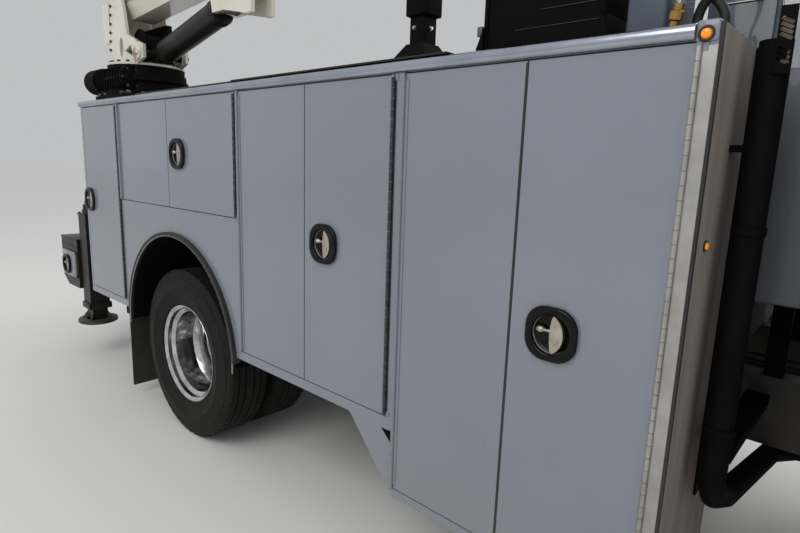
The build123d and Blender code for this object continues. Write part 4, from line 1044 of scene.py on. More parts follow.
def dress_cad_nodes() -> None:
    """Give every CAD node that stays its finish."""
    table = {
        BODY_PAINT: ["body_pack", "door_", "cab_shell", "cab_door", "hood", "tailgate", "bench_door"],
        CRANE_PAINT: ["turret", "main_boom", "middle_boom", "tip_boom"],
        SLATE_SHADED_PAINT: ["tall_cabinet"],
        BLACK_PAINT: ["bench_bumper", "outrigger", "lift_barrel"],
        FLAT_BLACK_AND_SHADE: ["boom_rest", "top_chest", "crane_base"],
        LINER: ["bed_floor"],
        CHASSIS_PAINT: ["chassis_frame", "powertrain", "axles", "knuckle"],
        POLISHED: ["grille", "side_tanks", "front_bumper"],
        WHEEL_METAL: ["front_rim", "rear_rims"],
        CHROME: ["lift_rod"],
        RUBBER: ["arch_rubber"],
        TYRE_RUBBER: ["front_tyre", "rear_tyres"],
        GLASS: ["cab_glass", "door_glass"],
        SEAT_CLOTH: ["seats"],
        PLASTIC: ["dash"],
    }
    for finish, stems in table.items():
        for name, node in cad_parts.items():
            if any(name.startswith(stem) for stem in stems) and (finish is GLASS) == ("glass" in name):
                node.data.materials.clear()
                node.data.materials.append(finish.material())


@dataclass
class Wheels:
    """Tyres with their tread and sidewalls, and the polished rims with discs, nuts and hubs."""

    radius: float = 520.0
    half_width: float = 139.5
    tread_half: float = 108.0
    bead_radius: float = 287.0
    outer_y: float = 1055.0
    inner_y: float = 737.0
    front_y: float = 1040.0
    groove_depth: float = 13.0
    groove_half: float = 5.0
    lugs: int = 54
    nuts: int = 10
    disc_offset: float = 158.0
    disc_root: float = 66.0
    disc_thickness: float = 13.0
    rear_cap: float = 88.0
    front_cap: float = 22.0
    hole_circle: float = 199.0
    hole_radius: float = 22.0
    bolt_circle: float = 143.0
    nut_across: float = 33.0
    nut_height: float = 24.0

    def tyre_section(self) -> list[tuple[float, float]]:
        """Section of a tyre: tread with four grooves, shoulders, ribbed sidewalls and beads.

        Returns:
            Corners as radius and distance along the axle, in mm.
        """
        half = [(self.radius, 0.0)]
        for middle in (27.0, 70.0):
            half += [
                (self.radius - 1, middle - self.groove_half), (self.radius - self.groove_depth, middle - 3),
                (self.radius - self.groove_depth, middle + 3), (self.radius - 1, middle + self.groove_half),
            ]
        half += [
            (self.radius - 6, self.tread_half), (self.radius - 14, self.tread_half + 9),
            (self.radius - 30, self.tread_half + 16), (self.radius - 46, self.tread_half + 19),
            (self.radius - 48, self.tread_half + 23), (self.radius - 54, self.tread_half + 23),
            (self.radius - 56, self.tread_half + 21), (self.radius - 90, self.half_width - 3),
            (self.radius - 120, self.half_width), (self.radius - 124, self.half_width + 1.5),
            (self.radius - 130, self.half_width + 1.5), (self.radius - 134, self.half_width - 1),
            (self.radius - 170, self.half_width - 9), (self.radius - 196, self.half_width - 21),
            (self.radius - 200, self.half_width - 19), (self.radius - 206, self.half_width - 20),
            (self.radius - 210, self.half_width - 26), (self.bead_radius + 10, 103.0),
            (self.bead_radius + 1, 101.0), (self.bead_radius, 90.0),
        ]
        return half + [(r, -h) for r, h in reversed(half[1:])]

    def tyre(self, name: str, centre: Vector) -> Thing:
        """One tyre with its shoulder lugs.

        Args:
            name: The object's name.
            centre: Middle of the tyre, in metres.

        Returns:
            The tyre.
        """
        carcass = turned(f"{name}_carcass", self.tyre_section(), centre, ACROSS, 96)
        lug = block(
            f"{name}_lug", Vector((-0.021, self.tread_half * MM - 0.026, self.radius * MM - 0.014)),
            Vector((0.021, self.tread_half * MM + 0.004, self.radius * MM - 0.001)), 2, 1,
        )
        places = []
        for i in range(self.lugs):
            turn = Matrix.Translation(centre) @ Matrix.Rotation(math.tau * i / self.lugs, 4, "Y")
            places += [turn, turn @ Matrix.Scale(-1, 4, (0, 1, 0))]
        return joined(name, [carcass, copies(f"{name}_lugs", lug, places)])

    def rim(self, name: str, centre: Vector, side: int, disc: int, cap: float) -> list[Thing]:
        """A rim with its disc.

        Args:
            name: The piece's name.
            centre: Middle of the rim.
            side: RIGHT or LEFT.
            disc: 1 where the disc stands outboard, -1 where it stands inboard.
            cap: Reach of the hub outboard of the disc in mm, 0 for none.

        Returns:
            The rim, and its nuts with the hub.
        """
        outward = Vector((0, side, 0))
        barrel = turned(f"{name}_barrel", [
            (299, -113), (303, -108), (299, -104), (287, -99), (286, -80), (262, -66), (262, 66), (286, 80),
            (287, 99), (299, 104), (303, 108), (299, 113), (290, 110), (278, 101), (276, 78), (253, 62),
            (253, -62), (276, -78), (278, -101), (290, -110),
        ], centre, outward, 72)
        face = disc * self.disc_offset
        root = disc * self.disc_root
        back = face - disc * self.disc_thickness
        plate = turned(f"{name}_disc", [
            (256, root), (250, root + disc * 18), (228, face - disc * 6), (214, face), (70, face),
            (70, back), (210, back), (222, face - disc * 20), (240, root + disc * 4),
            (250, root - disc * 8),
        ], centre, outward, 72)
        middle = AHEAD * self.hole_circle * MM
        hole = rod("hand_hole", middle - UP * 0.08, middle + UP * 0.08, self.hole_radius, 0, 20)
        place = turn_to(outward, centre + outward * face * MM)
        turns = [place @ Matrix.Rotation(math.tau * i / self.nuts, 4, "Z") for i in range(self.nuts)]
        cut(plate, copies("hand_holes", hole, turns))
        parts = [joined(name, [barrel, plate])]
        outer_face = centre + outward * face * MM
        nut = hex_head("wheel_nut", self.nut_across, self.nut_height)
        seats = ring_places(outer_face, outward, self.bolt_circle, self.nuts, 0.31)
        nuts = copies(f"{name}_nuts", nut, [turn_to(outward, p, 0.3 * i) for i, p in enumerate(seats)])
        if cap:
            hub = turned(f"{name}_hub", [
                (0, face + cap), (48, face + cap), (62, face + cap - 8), (70, face + cap - 26), (96, face + cap - 30),
                (104, face + cap - 38), (104, face), (0, face),
            ], centre, outward, 48)
            nuts = joined(f"{name}_nuts", [nuts, hub])
        return [*parts, nuts]

    def build(self) -> None:
        """Build the twins and the front wheels of both sides."""
        for side, word in WORDS.items():
            body = f"rear_wheels_{word}"
            outer = at(REAR_AXLE, SIDE_PLANE - self.outer_y, self.radius, side)
            inner = at(REAR_AXLE, SIDE_PLANE - self.inner_y, self.radius, side)
            pair = joined(f"rear_twin_tyres_{word}", [self.tyre("outer_tyre", outer), self.tyre("inner_tyre", inner)])
            settle(pair, TYRE_RUBBER, body, 30, [f"rear_tyres_{word}"])
            rim, nuts = self.rim(f"rear_outer_rim_{word}", outer, side, -1, self.rear_cap)
            inner_rim, inner_nuts = self.rim("inner_rim", inner, side, 1, 0)
            bpy.data.objects.remove(inner_nuts)
            piece(f"rear_twin_rims_{word}", [rim, inner_rim], WHEEL_METAL, body, 35, [f"rear_rims_{word}"])
            settle(nuts, BARE_STEEL, body)
            body = f"front_wheel_{word}"
            centre = at(FRONT_AXLE, SIDE_PLANE - self.front_y, self.radius, side)
            settle(self.tyre(f"front_tyre_dressed_{word}", centre), TYRE_RUBBER, body, 30, [f"front_tyre_{word}"])
            rim, nuts = self.rim(f"front_rim_dressed_{word}", centre, side, 1, self.front_cap)
            settle(rim, WHEEL_METAL, body, 35, [f"front_rim_{word}"])
            settle(nuts, CHROME, body)


@dataclass(frozen=True)
class Door:
    """One locker door: its name, edges, bottom, hinge edge and latch place."""

    name: str
    rear: float
    front: float
    bottom: float
    hinge: str
    latch_x: float = 0.0
    latch_z: float = 0.0

    @property
    def hinge_x(self) -> float:
        """Distance of the hinge line from the body's rear."""
        return self.front - 2.5 if self.hinge == "front" else self.rear + 2.5


DOORS = (
    Door("rear", 26, 625, 727, "front", 92, 1376),
    Door("over_wheel_rear", 650, 1318, 1412, "rear"),
    Door("over_wheel_front", 1314, 2030, 1412, "front", 1447, 1719),
    Door("middle_rear", 2054, 2567.5, 727, "rear"),
    Door("middle_front", 2563.5, 3077, 727, "front", 2700.5, 1370),
    Door("front_rear", 3121, 3605, 437, "rear"),
    Door("front_front", 3601, 4060, 437, "front", 3748, 1228),
)


@dataclass
class Latch:
    """A folding handle in its bowl: gloss bezel and pan, nickel paddle and stem."""

    size: float = 169.0
    corner: float = 66.0
    rise: float = 19.0
    pan_radius: float = 60.0
    pan_floor: float = -5.5
    paddle: list[tuple[float, float]] = field(default_factory=lambda: [
        (-9, 57), (1, 52), (12, 41), (21, 25), (26, 6), (26, -14), (20, -33), (10, -48), (-1, -58), (-9, -63),
        (-13, -52), (-16, -30), (-17, -4), (-16, 22), (-13, 44),
    ])

    def bowl(self) -> Thing:
        """The bezel and pan.

        Returns:
            The bowl, at the origin, facing -Y.
        """
        outline = rounded_outline(self.size, self.size, self.corner)
        ring = prism("latch_bezel", [Vector((u * MM, 0, w * MM)) for u, w in outline], Vector((0, -self.rise * MM, 0)))
        bore = rod("latch_bore", Vector((0, -0.05, 0)), Vector((0, 0.05, 0)), self.pan_radius, 0, 40)
        cut(ring, bore)
        eased(ring, 15, 5, 50)
        floor = self.pan_floor
        pan = turned("latch_pan", [
            (0, floor), (46, floor), (55, floor + 3), (self.pan_radius + 1, 3), (self.pan_radius + 1, 1),
            (56, floor + 1), (46, floor - 1), (0, floor - 1),
        ], ORIGIN, OUTWARD, 40)
        return joined("latch_bowl", [ring, pan])

    def handle(self) -> Thing:
        """The paddle with its keyhole boss, and the stem.

        Returns:
            The handle, at the origin, facing -Y.
        """
        outline = [Vector(((u + 13) * MM, 0.005, w * MM)) for u, w in self.paddle]
        plate = prism("latch_paddle", outline, OUTWARD * 0.015, 1.5)
        stem = turned("latch_stem", [
            (0, 0), (5, 0), (5, 22), (8, 26), (11, 32), (11, 40), (8, 46), (0, 48),
        ], Vector((0.001, -0.006, 0.008)), Vector((-1, 0, 0.04)), 20)
        seat = Vector((0.017, -0.010, -0.022))
        boss = turned("latch_boss", [(0, 0), (8, 0), (8, 2.5), (6, 3.5), (0, 3.5)], seat, OUTWARD, 20)
        return joined("latch_handle", [plate, stem, boss])

    def build(self, places: Sequence[tuple[str, str, Vector, int]]) -> None:
        """Build one latch a door.

        Args:
            places: Piece word, body, middle on the door's face, and side.
        """
        bowl, handle = self.bowl(), self.handle()
        for word, body, middle, side in places:
            flip = Matrix.Scale(-1, 4, (0, 1, 0)) if side == LEFT else Matrix.Identity(4)
            place = Matrix.Translation(middle) @ flip
            for part, finish, pattern in (("bowl", GLOSS_PLASTIC, bowl), ("handle", NICKEL, handle)):
                settle(copies(f"latch_{part}_{word}", pattern, [place], keep=True), finish, body)
        bpy.data.objects.remove(bowl)
        bpy.data.objects.remove(handle)


@dataclass
class ServiceBody:
    """Trim, hinges, latches, coatings and lamps of the two side packs."""

    length: float = 4100.0
    depth: float = 560.0
    front_bottom: float = 402.0
    trim_low: float = 2024.0
    trim_end: float = 4048.0
    knuckle: float = 36.0
    knuckle_radius: float = 7.6
    hinge_out: float = 6.0
    wide_leaf: float = 40.0
    narrow_leaf: float = 12.0
    door_leaf: float = 6.0
    door_top: float = 2010.0
    arch_z: float = 615.0
    arch_radius: float = 634.0
    well_radius: float = 552.0
    notch: tuple[tuple[float, float], ...] = ((3058.0, 675.0), (3118.0, 677.0), (3118.0, 619.0))

    def trim(self, side: int) -> None:
        """The half-round rail along the top edge and the painted corner at its front end.

        Args:
            side: RIGHT or LEFT.
        """
        middle = (self.trim_low + PACK_TOP) / 2
        half = (PACK_TOP - self.trim_low) / 2 + 1
        section = [(0.0, -half), (3.0, -half)]
        section += [(3 + 13 * math.cos(math.radians(a)), half * math.sin(math.radians(a))) for a in range(-70, 71, 20)]
        section += [(3.0, half), (0.0, half + 1.5), (-45.0, half + 1.5), (-45.0, half), (0.0, half - 2)]
        corners = [at(-2, -out, middle + rise, side) for out, rise in section]
        rail = prism(f"top_trim_{WORDS[side]}", corners, Vector((self.trim_end * MM, 0, 0)), 0.8, 1)
        settle(rail, RAIL_METAL, ROOT, 40)
        corner = block(
            f"top_corner_{WORDS[side]}", at(self.trim_end - 1, -5, self.trim_low - 6, side),
            at(self.length - 3, 46, PACK_TOP + 7, side), 5, 3,
        )
        settle(corner, BODY_PAINT, ROOT)

    def coatings(self, side: int) -> None:
        """The black coating on the pack's top, the liner on its front end and the thin edge between them.

        Args:
            side: RIGHT or LEFT.
        """
        word = WORDS[side]
        low, high = at(6, 46, PACK_TOP, side), at(self.length - 4, self.depth - 2, PACK_TOP + 2.5, side)
        settle(block(f"top_coating_{word}", low, high, 1, 1), LINER, ROOT)
        # The front liner is lightened to the grey it shows in sunlight: painted light.
        front = block(
            f"front_liner_{word}", at(self.length, 3, self.front_bottom, side),
            at(self.length + 4, self.depth, PACK_TOP + 2, side), 2, 2,
        )
        settle(front, SUNLIT_FILMED_LINER, ROOT)
        strip = prism(f"liner_edge_{word}", [
            at(self.length - 3, -1.5, self.front_bottom, side), at(self.length + 6, -1.5, self.front_bottom, side),
            at(self.length + 6, 10, self.front_bottom, side), at(self.length + 3, 10, self.front_bottom, side),
            at(self.length + 3, 1, self.front_bottom, side), at(self.length - 3, 1, self.front_bottom, side),
        ], Vector((0, 0, (PACK_TOP - self.front_bottom) * MM)), 0.6, 1)
        settle(strip, RUBBER, ROOT)

    def hinges(self, side: int) -> None:
        """Piano hinges with a leaf and every second knuckle on the body and the rest on the door, and the front seam.

        Args:
            side: RIGHT or LEFT.
        """
        word = WORDS[side]
        for door in DOORS:
            body = f"door_{door.name}_{word}"
            low, high = door.bottom + 8, self.door_top
            count = int((high - low) / self.knuckle)
            step = (high - low) / count
            pattern = turned("knuckle", [
                (5.0, 0.6), (self.knuckle_radius, 1.2), (self.knuckle_radius, step - 1.2), (5.0, step - 0.6),
            ], ORIGIN, UP, 10)
            line = at(door.hinge_x, -self.hinge_out, low, side)
            rows = {body: [], ROOT: []}
            for i in range(count):
                rows[body if i % 2 else ROOT].append(Matrix.Translation(line + Vector((0, 0, i * step * MM))))
            away = 1 if door.hinge == "front" else -1
            bright = door.name == "front_front"
            # The front corner's hinge keeps its bright stainless; the front-hinged ones further back are darkened as
            # they look in shade: painted shade.
            finish = STAINLESS if bright else BODY_PAINT if door.hinge == "rear" else SHADED_HINGE
            for owner, places in rows.items():
                row = copies("knuckle_row", pattern, places, keep=True)
                toward = away if owner == ROOT else -away
                reach = (self.wide_leaf if bright else self.narrow_leaf) if owner == ROOT else self.door_leaf
                near, far = (door.hinge_x + toward * offset for offset in (2, reach))
                leaf = block("hinge_leaf", at(near, -2.2, low, side), at(far, -0.1, high, side), 0.6, 1)
                part = "leaf" if owner == ROOT else "knuckles"
                piece(f"hinge_{part}_{door.name}_{word}", [row, leaf], finish, owner)
            bpy.data.objects.remove(pattern)
        # A dark rubber strip, widened to stand in for the shade on the rounded door edges at this seam: painted shade.
        seam = block(f"door_seam_{word}", at(3596.5, -1.4, 441, side), at(3605.5, 0.4, self.door_top + 2, side), 0.5, 1)
        settle(seam, RUBBER, f"door_front_front_{word}")

    def lamps(self, side: int) -> None:
        """Marker lamps at the top front corner, on the front end and on the rear end.

        Args:
            side: RIGHT or LEFT.
        """
        word = WORDS[side]
        outward = Vector((0, side, 0))
        section = [(0, 0), (17, 0), (17, 5), (14, 11), (8, 14), (0, 15)]
        ring = [(16, 0), (21, 0), (22, 3), (20, 6), (16, 6)]
        spots = {
            "front_marker": (at(4070, -5, 2035, side), outward, 0.85),
            "end_lamp": (at(4104, 88, 1530, side), AHEAD, 0.7),
        }
        for name, (place, direction, size) in spots.items():
            lens = [(radius * size * 0.85, rise * size) for radius, rise in section]
            grommet = [(radius * size, rise * size) for radius, rise in ring]
            settle(turned(f"{name}_lens_{word}", lens, place, direction, 28), AMBER, ROOT)
            settle(turned(f"{name}_grommet_{word}", grommet, place, direction, 28), RUBBER, ROOT)
        for i, (inboard, height) in enumerate(((70, 1990), (70, 1930))):
            place = at(0, inboard, height, side)
            settle(turned(f"rear_marker_{i}_{word}", section, place, AFT, 28), RED_LENS, ROOT)
            settle(turned(f"rear_marker_grommet_{i}_{word}", ring, place, AFT, 28), RUBBER, ROOT)

    def arch(self, side: int) -> None:
        """The dull lip round the wheel arch, and black liner, well panel and sill notch as painted shade.

        Args:
            side: RIGHT or LEFT.
        """
        word = WORDS[side]

        def curve(radius: float, middle: float, inboard: float, low: int, high: int) -> list[Vector]:
            """Points of an arc about the arch's middle at a height, from the front round to the rear."""
            turns = [math.radians(degree) for degree in range(low, high + 1, 4)]
            return [at(REAR_AXLE + radius * math.cos(a), inboard, middle + radius * math.sin(a), side) for a in turns]

        lip = pipe(f"arch_lip_{word}", curve(self.arch_radius, self.arch_z, -18, -2, 182), 3.5)
        settle(lip, STAINLESS, ROOT)
        # The liner, the well's panel and the notch are black sheets standing in for the shade in the arch and the sill:
        # painted shade.
        outer, inner = (curve(self.arch_radius - thick, self.arch_z, 1, 0, 180) for thick in (0, 5))
        run = Vector((0, -side * (self.depth - 3) * MM, 0))
        settle(prism(f"arch_liner_{word}", [*outer, *reversed(inner)], run), FLAT_BLACK_AND_SHADE, ROOT)
        behind = self.depth - 14
        outer = curve(self.arch_radius - 2, self.arch_z, behind, 0, 180)
        inner = curve(self.well_radius, HUB_Z, behind, 12, 168)
        wall = prism(f"well_wall_{word}", [*outer, *reversed(inner)], Vector((0, -side * 0.004, 0)))
        settle(wall, FLAT_BLACK_AND_SHADE, ROOT)
        corners = [at(x, -1.2, z, side) for x, z in self.notch]
        settle(prism(f"step_notch_{word}", corners, ACROSS * side * -0.0015), FLAT_BLACK_AND_SHADE, ROOT)

    def shelves(self, side: int) -> None:
        """Shelves, and the inner pans and ribs of the doors.

        Args:
            side: RIGHT or LEFT.
        """
        word = WORDS[side]
        sheets = []
        lockers = ((58, 593, (1150, 1560)), (2086, 3045, (1120, 1540)), (3153, 4028, (820, 1240, 1640)))
        for rear, front, heights in lockers:
            for height in heights:
                for outer, inner, rise in ((40, self.depth - 22, 3), (38, 41, 32)):
                    corners = at(rear, outer, height, side), at(front, inner, height + rise, side)
                    sheets.append(block("shelf", *corners, 0.8, 1))
        piece(f"locker_shelves_{word}", sheets, STAINLESS, ROOT)
        for door in DOORS:
            rear, front = door.rear + 60, door.front - 60
            low, high = door.bottom + 80, self.door_top - 70
            frame_parts = [block("door_pan", at(rear, 20, low, side), at(front, 23, high, side), 1, 1)]
            for height in range(int(low) + 120, int(high) - 60, 300):
                lower, upper = at(rear + 12, 22, height, side), at(front - 12, 27, height + 30, side)
                frame_parts.append(block("door_rib", lower, upper, 2, 2))
            piece(f"door_inner_{door.name}_{word}", frame_parts, BODY_PAINT, f"door_{door.name}_{word}")

    def build(self) -> None:
        """Dress both packs."""
        latches = []
        for side, word in WORDS.items():
            self.trim(side)
            self.coatings(side)
            self.hinges(side)
            self.lamps(side)
            self.arch(side)
            self.shelves(side)
            for door in DOORS:
                if door.latch_x:
                    label = f"{door.name}_{word}"
                    latches.append((label, f"door_{label}", at(door.latch_x, 0, door.latch_z, side), side))
        Latch().build(latches)


@dataclass
class Crane:
    """Bolts, slewing drive and ring, pins, valves, hoses, collars, hook and cylinder ends of the crane."""

    x: float = 500.0
    inboard: float = 270.0
    worm: tuple[float, float] = (92.0, 2192.0)
    deck: float = 2302.0
    pivot: tuple[float, float] = (390.0, 2760.0)
    lower_pin: tuple[float, float] = (720.0, 2345.0)
    upper_pin: tuple[float, float] = (1560.0, 2530.0)
    slope: float = 4.0
    boom_start: tuple[float, float] = (470.0, 2582.5)
    half_height: float = 135.0
    half_width: float = 110.0
    half_flat: float = 75.0
    stage_inset: float = 15.0
    sheave_reach: float = 3180.0
    lengths: dict[str, tuple[int, float]] = field(default_factory=lambda: {
        "main_boom": (0, 2900.0), "middle_boom": (1, 2990.0),
    })

    @property
    def along(self) -> Vector:
        """Direction of the boom."""
        slope = math.radians(self.slope)
        return Vector((math.cos(slope), 0, math.sin(slope)))

    @property
    def up(self) -> Vector:
        """Direction square to the boom, upwards."""
        slope = math.radians(self.slope)
        return Vector((-math.sin(slope), 0, math.cos(slope)))

    @property
    def start(self) -> Vector:
        """Middle of the boom's rear end."""
        x, z = self.boom_start
        return at(x, self.inboard, z) + self.up * self.half_height * MM

    def base(self) -> None:
        """Mounting bolts, the drum's ring and the slewing drive."""
        centre = at(self.x, self.inboard, 2085)
        corners = [
            centre + Vector((sx * u * MM, sy * w * MM, 0))
            for sx in (-1, 1) for sy in (-1, 1) for u, w in ((225, 225), (225, 130), (130, 225))
        ]
        bolts("base_bolts", corners, UP, 30, 20, BARE_STEEL, ROOT)
        collar = turned("drum_collar", [
            (241, 120), (262, 120), (262, 135), (250, 142), (250, 176), (241, 176),
        ], at(self.x, self.inboard, 2060), UP, 64)
        settle(collar, FLAT_BLACK_AND_SHADE, ROOT)
        self.slew_drive()

    def slew_drive(self) -> None:
        """Worm housing tangent to the drum, its bolted end cover and the hydraulic motor behind it."""
        near, height = self.worm
        line = [at(x, near, height) for x in (236, 250, 656, 676)]
        housing = [
            block("case", at(262, near - 68, height - 66), at(650, near + 68, height + 60), 22, 4),
            turned("worm_tube", [(0, 0), (70, 0), (70, 420), (0, 420)], line[1] - AHEAD * 0.006, AHEAD, 40, 4),
            turned("end_cover", [
                (0, 0), (73, 0), (73, 16), (66, 20), (46, 22), (40, 32), (0, 34),
            ], line[2], AHEAD, 44, 1),
            turned("flange", [(0, 0), (74, 0), (74, 18), (0, 18)], line[0], AHEAD, 40, 2),
            *[block("rib", at(x, near - 78, height - 68), at(x + 9, near - 32, height + 62), 3, 2)
              for x in range(292, 640, 42)],
            block("foot", at(280, near - 52, height - 116), at(640, near + 58, height - 62), 6),
        ]
        piece("worm_housing", housing, FLAT_BLACK_AND_SHADE, ROOT)
        bolts("worm_cover_bolts", ring_places(line[3], AHEAD, 59, 6), AHEAD, 15, 9, BARE_STEEL, ROOT)
        motor = [
            block("body", at(78, near - 66, height - 66), at(214, near + 64, height + 60), 26, 4),
            turned("nose", [(0, 0), (60, 0), (66, 8), (66, 30), (0, 30)], at(212, near, height - 2), AHEAD, 36, 1),
            turned("tail", [(0, 0), (48, 0), (56, 8), (56, 22), (0, 22)], at(60, near, height - 2), AHEAD, 36, 1),
            *[turned("port", [(0, 0), (15, 0), (15, 14), (11, 18), (11, 26), (0, 26)], at(x, y, height + 38), UP, 6)
              for x in (110, 180) for y in (70, 120)],
        ]
        piece("slew_motor", motor, FLAT_BLACK_AND_SHADE, ROOT)

    def turret(self) -> None:
        """Slewing ring and its bolts, pin caps with keepers, the cover's bolts, valves and the winch drum."""
        body = "turret"
        ring = turned("slew_ring", [
            (232, 16), (244, 16), (246, 19), (246, 27), (243, 30), (150, 31), (150, 28), (232, 26),
        ], at(self.x, self.inboard, 2260), UP, 72)
        settle(ring, CRANE_PAINT, body)
        bolts("slew_bolts", ring_places(at(self.x, self.inboard, 2290), UP, 222, 20), UP, 22, 14, BARE_STEEL, body)
        for side in (-1, 1):
            outward = Vector((0, side, 0))
            face = -0.95 + side * 0.150
            word = "outer" if side < 0 else "inner"
            rings = []
            for x, z in (self.pivot, self.lower_pin):
                centre = Vector(((BODY_REAR + x) * MM, face + side * 0.001, z * MM))
                rings.append(turned("pin_boss", [(24, 0), (48, 0), (48, 8), (44, 12), (24, 12)], centre, outward, 36))
                rings.append(turned("pin_end", [(0, 0), (25, 0), (25, 9), (22, 13), (0, 13)], centre, outward, 28))
                low, high = Vector((-0.045, side * 0.012, -0.009)), Vector((0.045, side * 0.018, 0.009))
                rings.append(block("pin_keeper", centre + low, centre + high, 1.5, 1))
            piece(f"turret_pins_{word}", rings, CRANE_PAINT if side < 0 else BLACK_PAINT, body)
        side_bolts = [at(300 + i * 7, 120, 2400 + i * 55) for i in range(6)]
        bolts("cover_side_bolts", side_bolts, OUTWARD, 15, 9, BARE_STEEL, body)
        works = [
            block("manifold", at(264, 348, self.deck), at(640, 392, self.deck + 260), 6),
            block("tray", at(264, 200, self.deck), at(360, 340, self.deck + 10), 3),
            block("valve_block", at(372, 205, self.deck), at(500, 284, self.deck + 94), 8, 3),
            block("solenoids", at(390, 214, self.deck + 94), at(486, 276, self.deck + 138), 10, 3),
        ]
        piece("turret_valves", works, FLAT_BLACK_AND_SHADE, body)
        winch = turned("winch_drum", [
            (0, -86), (92, -86), (92, -78), (62, -76), (62, -60), (66, -50), (62, -40), (66, -30), (62, -20), (66, -10),
            (62, 0), (66, 10), (62, 20), (66, 30), (62, 40), (66, 50), (62, 60), (62, 76), (92, 78), (92, 86), (0, 86),
        ], at(600, self.inboard, 2420), ACROSS, 40)
        settle(winch, FLAT_BLACK_AND_SHADE, body)

    def hoses(self) -> None:
        """Hydraulic hoses in the turret, each a curve that goes back into the crane."""
        routes = {
            "turret_hose_pressure": [
                (250, 190, 2330), (252, 188, 2352), (275, 180, 2420), (330, 172, 2440), (350, 190, 2380),
                (352, 200, 2330), (352, 200, 2300),
            ],
            "turret_hose_return": [
                (310, 330, 2300), (310, 330, 2325), (322, 322, 2410), (380, 300, 2470), (440, 300, 2430),
                (450, 305, 2340), (450, 305, 2300),
            ],
            "turret_hose_lift": [
                (560, 330, 2300), (560, 330, 2330), (556, 322, 2380), (600, 300, 2440), (660, 290, 2420),
                (690, 285, 2380),
            ],
        }
        for name, route in routes.items():
            free_hose(name, [at(*p) for p in route], 11, "turret")
        route = ((186, 2440), (170, 2425), (158, 2390), (172, 2362), (200, 2372), (262, 2392))
        loop = [at(x, 250, z) for x, z in route]
        settle(pipe("cover_wire_loop", loop, 4), RUBBER, "turret")

    def boom(self) -> None:
        """Collars at the ends of the two outer stages, and the screws of their wear pads."""
        for name, (order, length) in self.lengths.items():
            end = self.start + self.along * length * MM
            inset = order * self.stage_inset
            high, wide, flat = self.half_height - inset, self.half_width - inset, self.half_flat - inset * 0.85
            shoulder = high * 0.35
            outline = [
                end + ACROSS * (u * MM) + self.up * (w * MM) for u, w in (
                    (-flat, -high), (flat, -high), (wide, -shoulder), (wide, shoulder), (flat, high), (-flat, high),
                    (-wide, shoulder), (-wide, -shoulder),
                )
            ]
            plates = []
            for i, corner in enumerate(outline):
                near = [corner, outline[(i + 1) % len(outline)]]
                far = [p + (p - end).normalized() * 0.012 for p in reversed(near)]
                plates.append(prism("collar_plate", near + far, -self.along * 0.045, 1.5, 1))
            piece(f"{name}_collar", plates, CRANE_PAINT, name)
            for word, sign, outward in (("", -1, OUTWARD), ("_inner", 1, ACROSS)):
                seat = end - self.along * 0.022 + ACROSS * (sign * (wide + 10) * MM)
                seats = [seat + self.up * lift for lift in (-0.03, 0.03)]
                bolts(f"{name}_pad_screws{word}", seats, outward, 16, 9, BARE_STEEL, name)

    def hook(self) -> None:
        """Sheave, its nut and the hook at the tip."""
        head = self.start + self.along * self.sheave_reach * MM
        tip = head - self.up * 0.06
        sheave = turned("tip_sheave", [
            (0, -16), (70, -16), (72, -12), (64, -4), (64, 4), (72, 12), (70, 16), (0, 16),
        ], tip, ACROSS, 40)
        settle(sheave, BLACK_PAINT, "tip_boom")
        bolts("sheave_nut", [tip + Vector((0, -0.022, 0))], OUTWARD, 34, 18, BARE_STEEL, "tip_boom")
        foot = head - UP * 0.28
        shape = [
            (0, 0), (0, -28), (-6, -44), (-22, -64), (-34, -86), (-30, -112), (-8, -130), (20, -130), (42, -112),
            (48, -92),
        ]
        route = [foot + Vector((u * MM, 0, w * MM)) for u, w in shape]
        settle(pipe("crane_hook", route, 11, sides=4), BARE_STEEL, "tip_boom")

    def cylinder(self) -> None:
        """Gland and end cap of the lift cylinder."""
        low, high = (at(x, self.inboard, z) for x, z in (self.lower_pin, self.upper_pin))
        run = (high - low).normalized()
        length = (high - low).length
        settle(turned("cylinder_gland", [
            (33, -58), (71, -58), (76, -54), (76, -20), (72, -14), (60, -10), (33, -8),
        ], low + run * (length - 0.068), run, 48), BLACK_PAINT, "lift_barrel")
        settle(turned("cylinder_foot", [
            (0, -34), (44, -34), (62, -24), (71, 0), (71, 8), (0, 8),
        ], low + run * 0.094, run, 48), BLACK_PAINT, "lift_barrel")

    def build(self) -> None:
        """Dress the crane."""
        self.base()
        self.turret()
        self.hoses()
        self.boom()
        self.hook()
        self.cylinder()


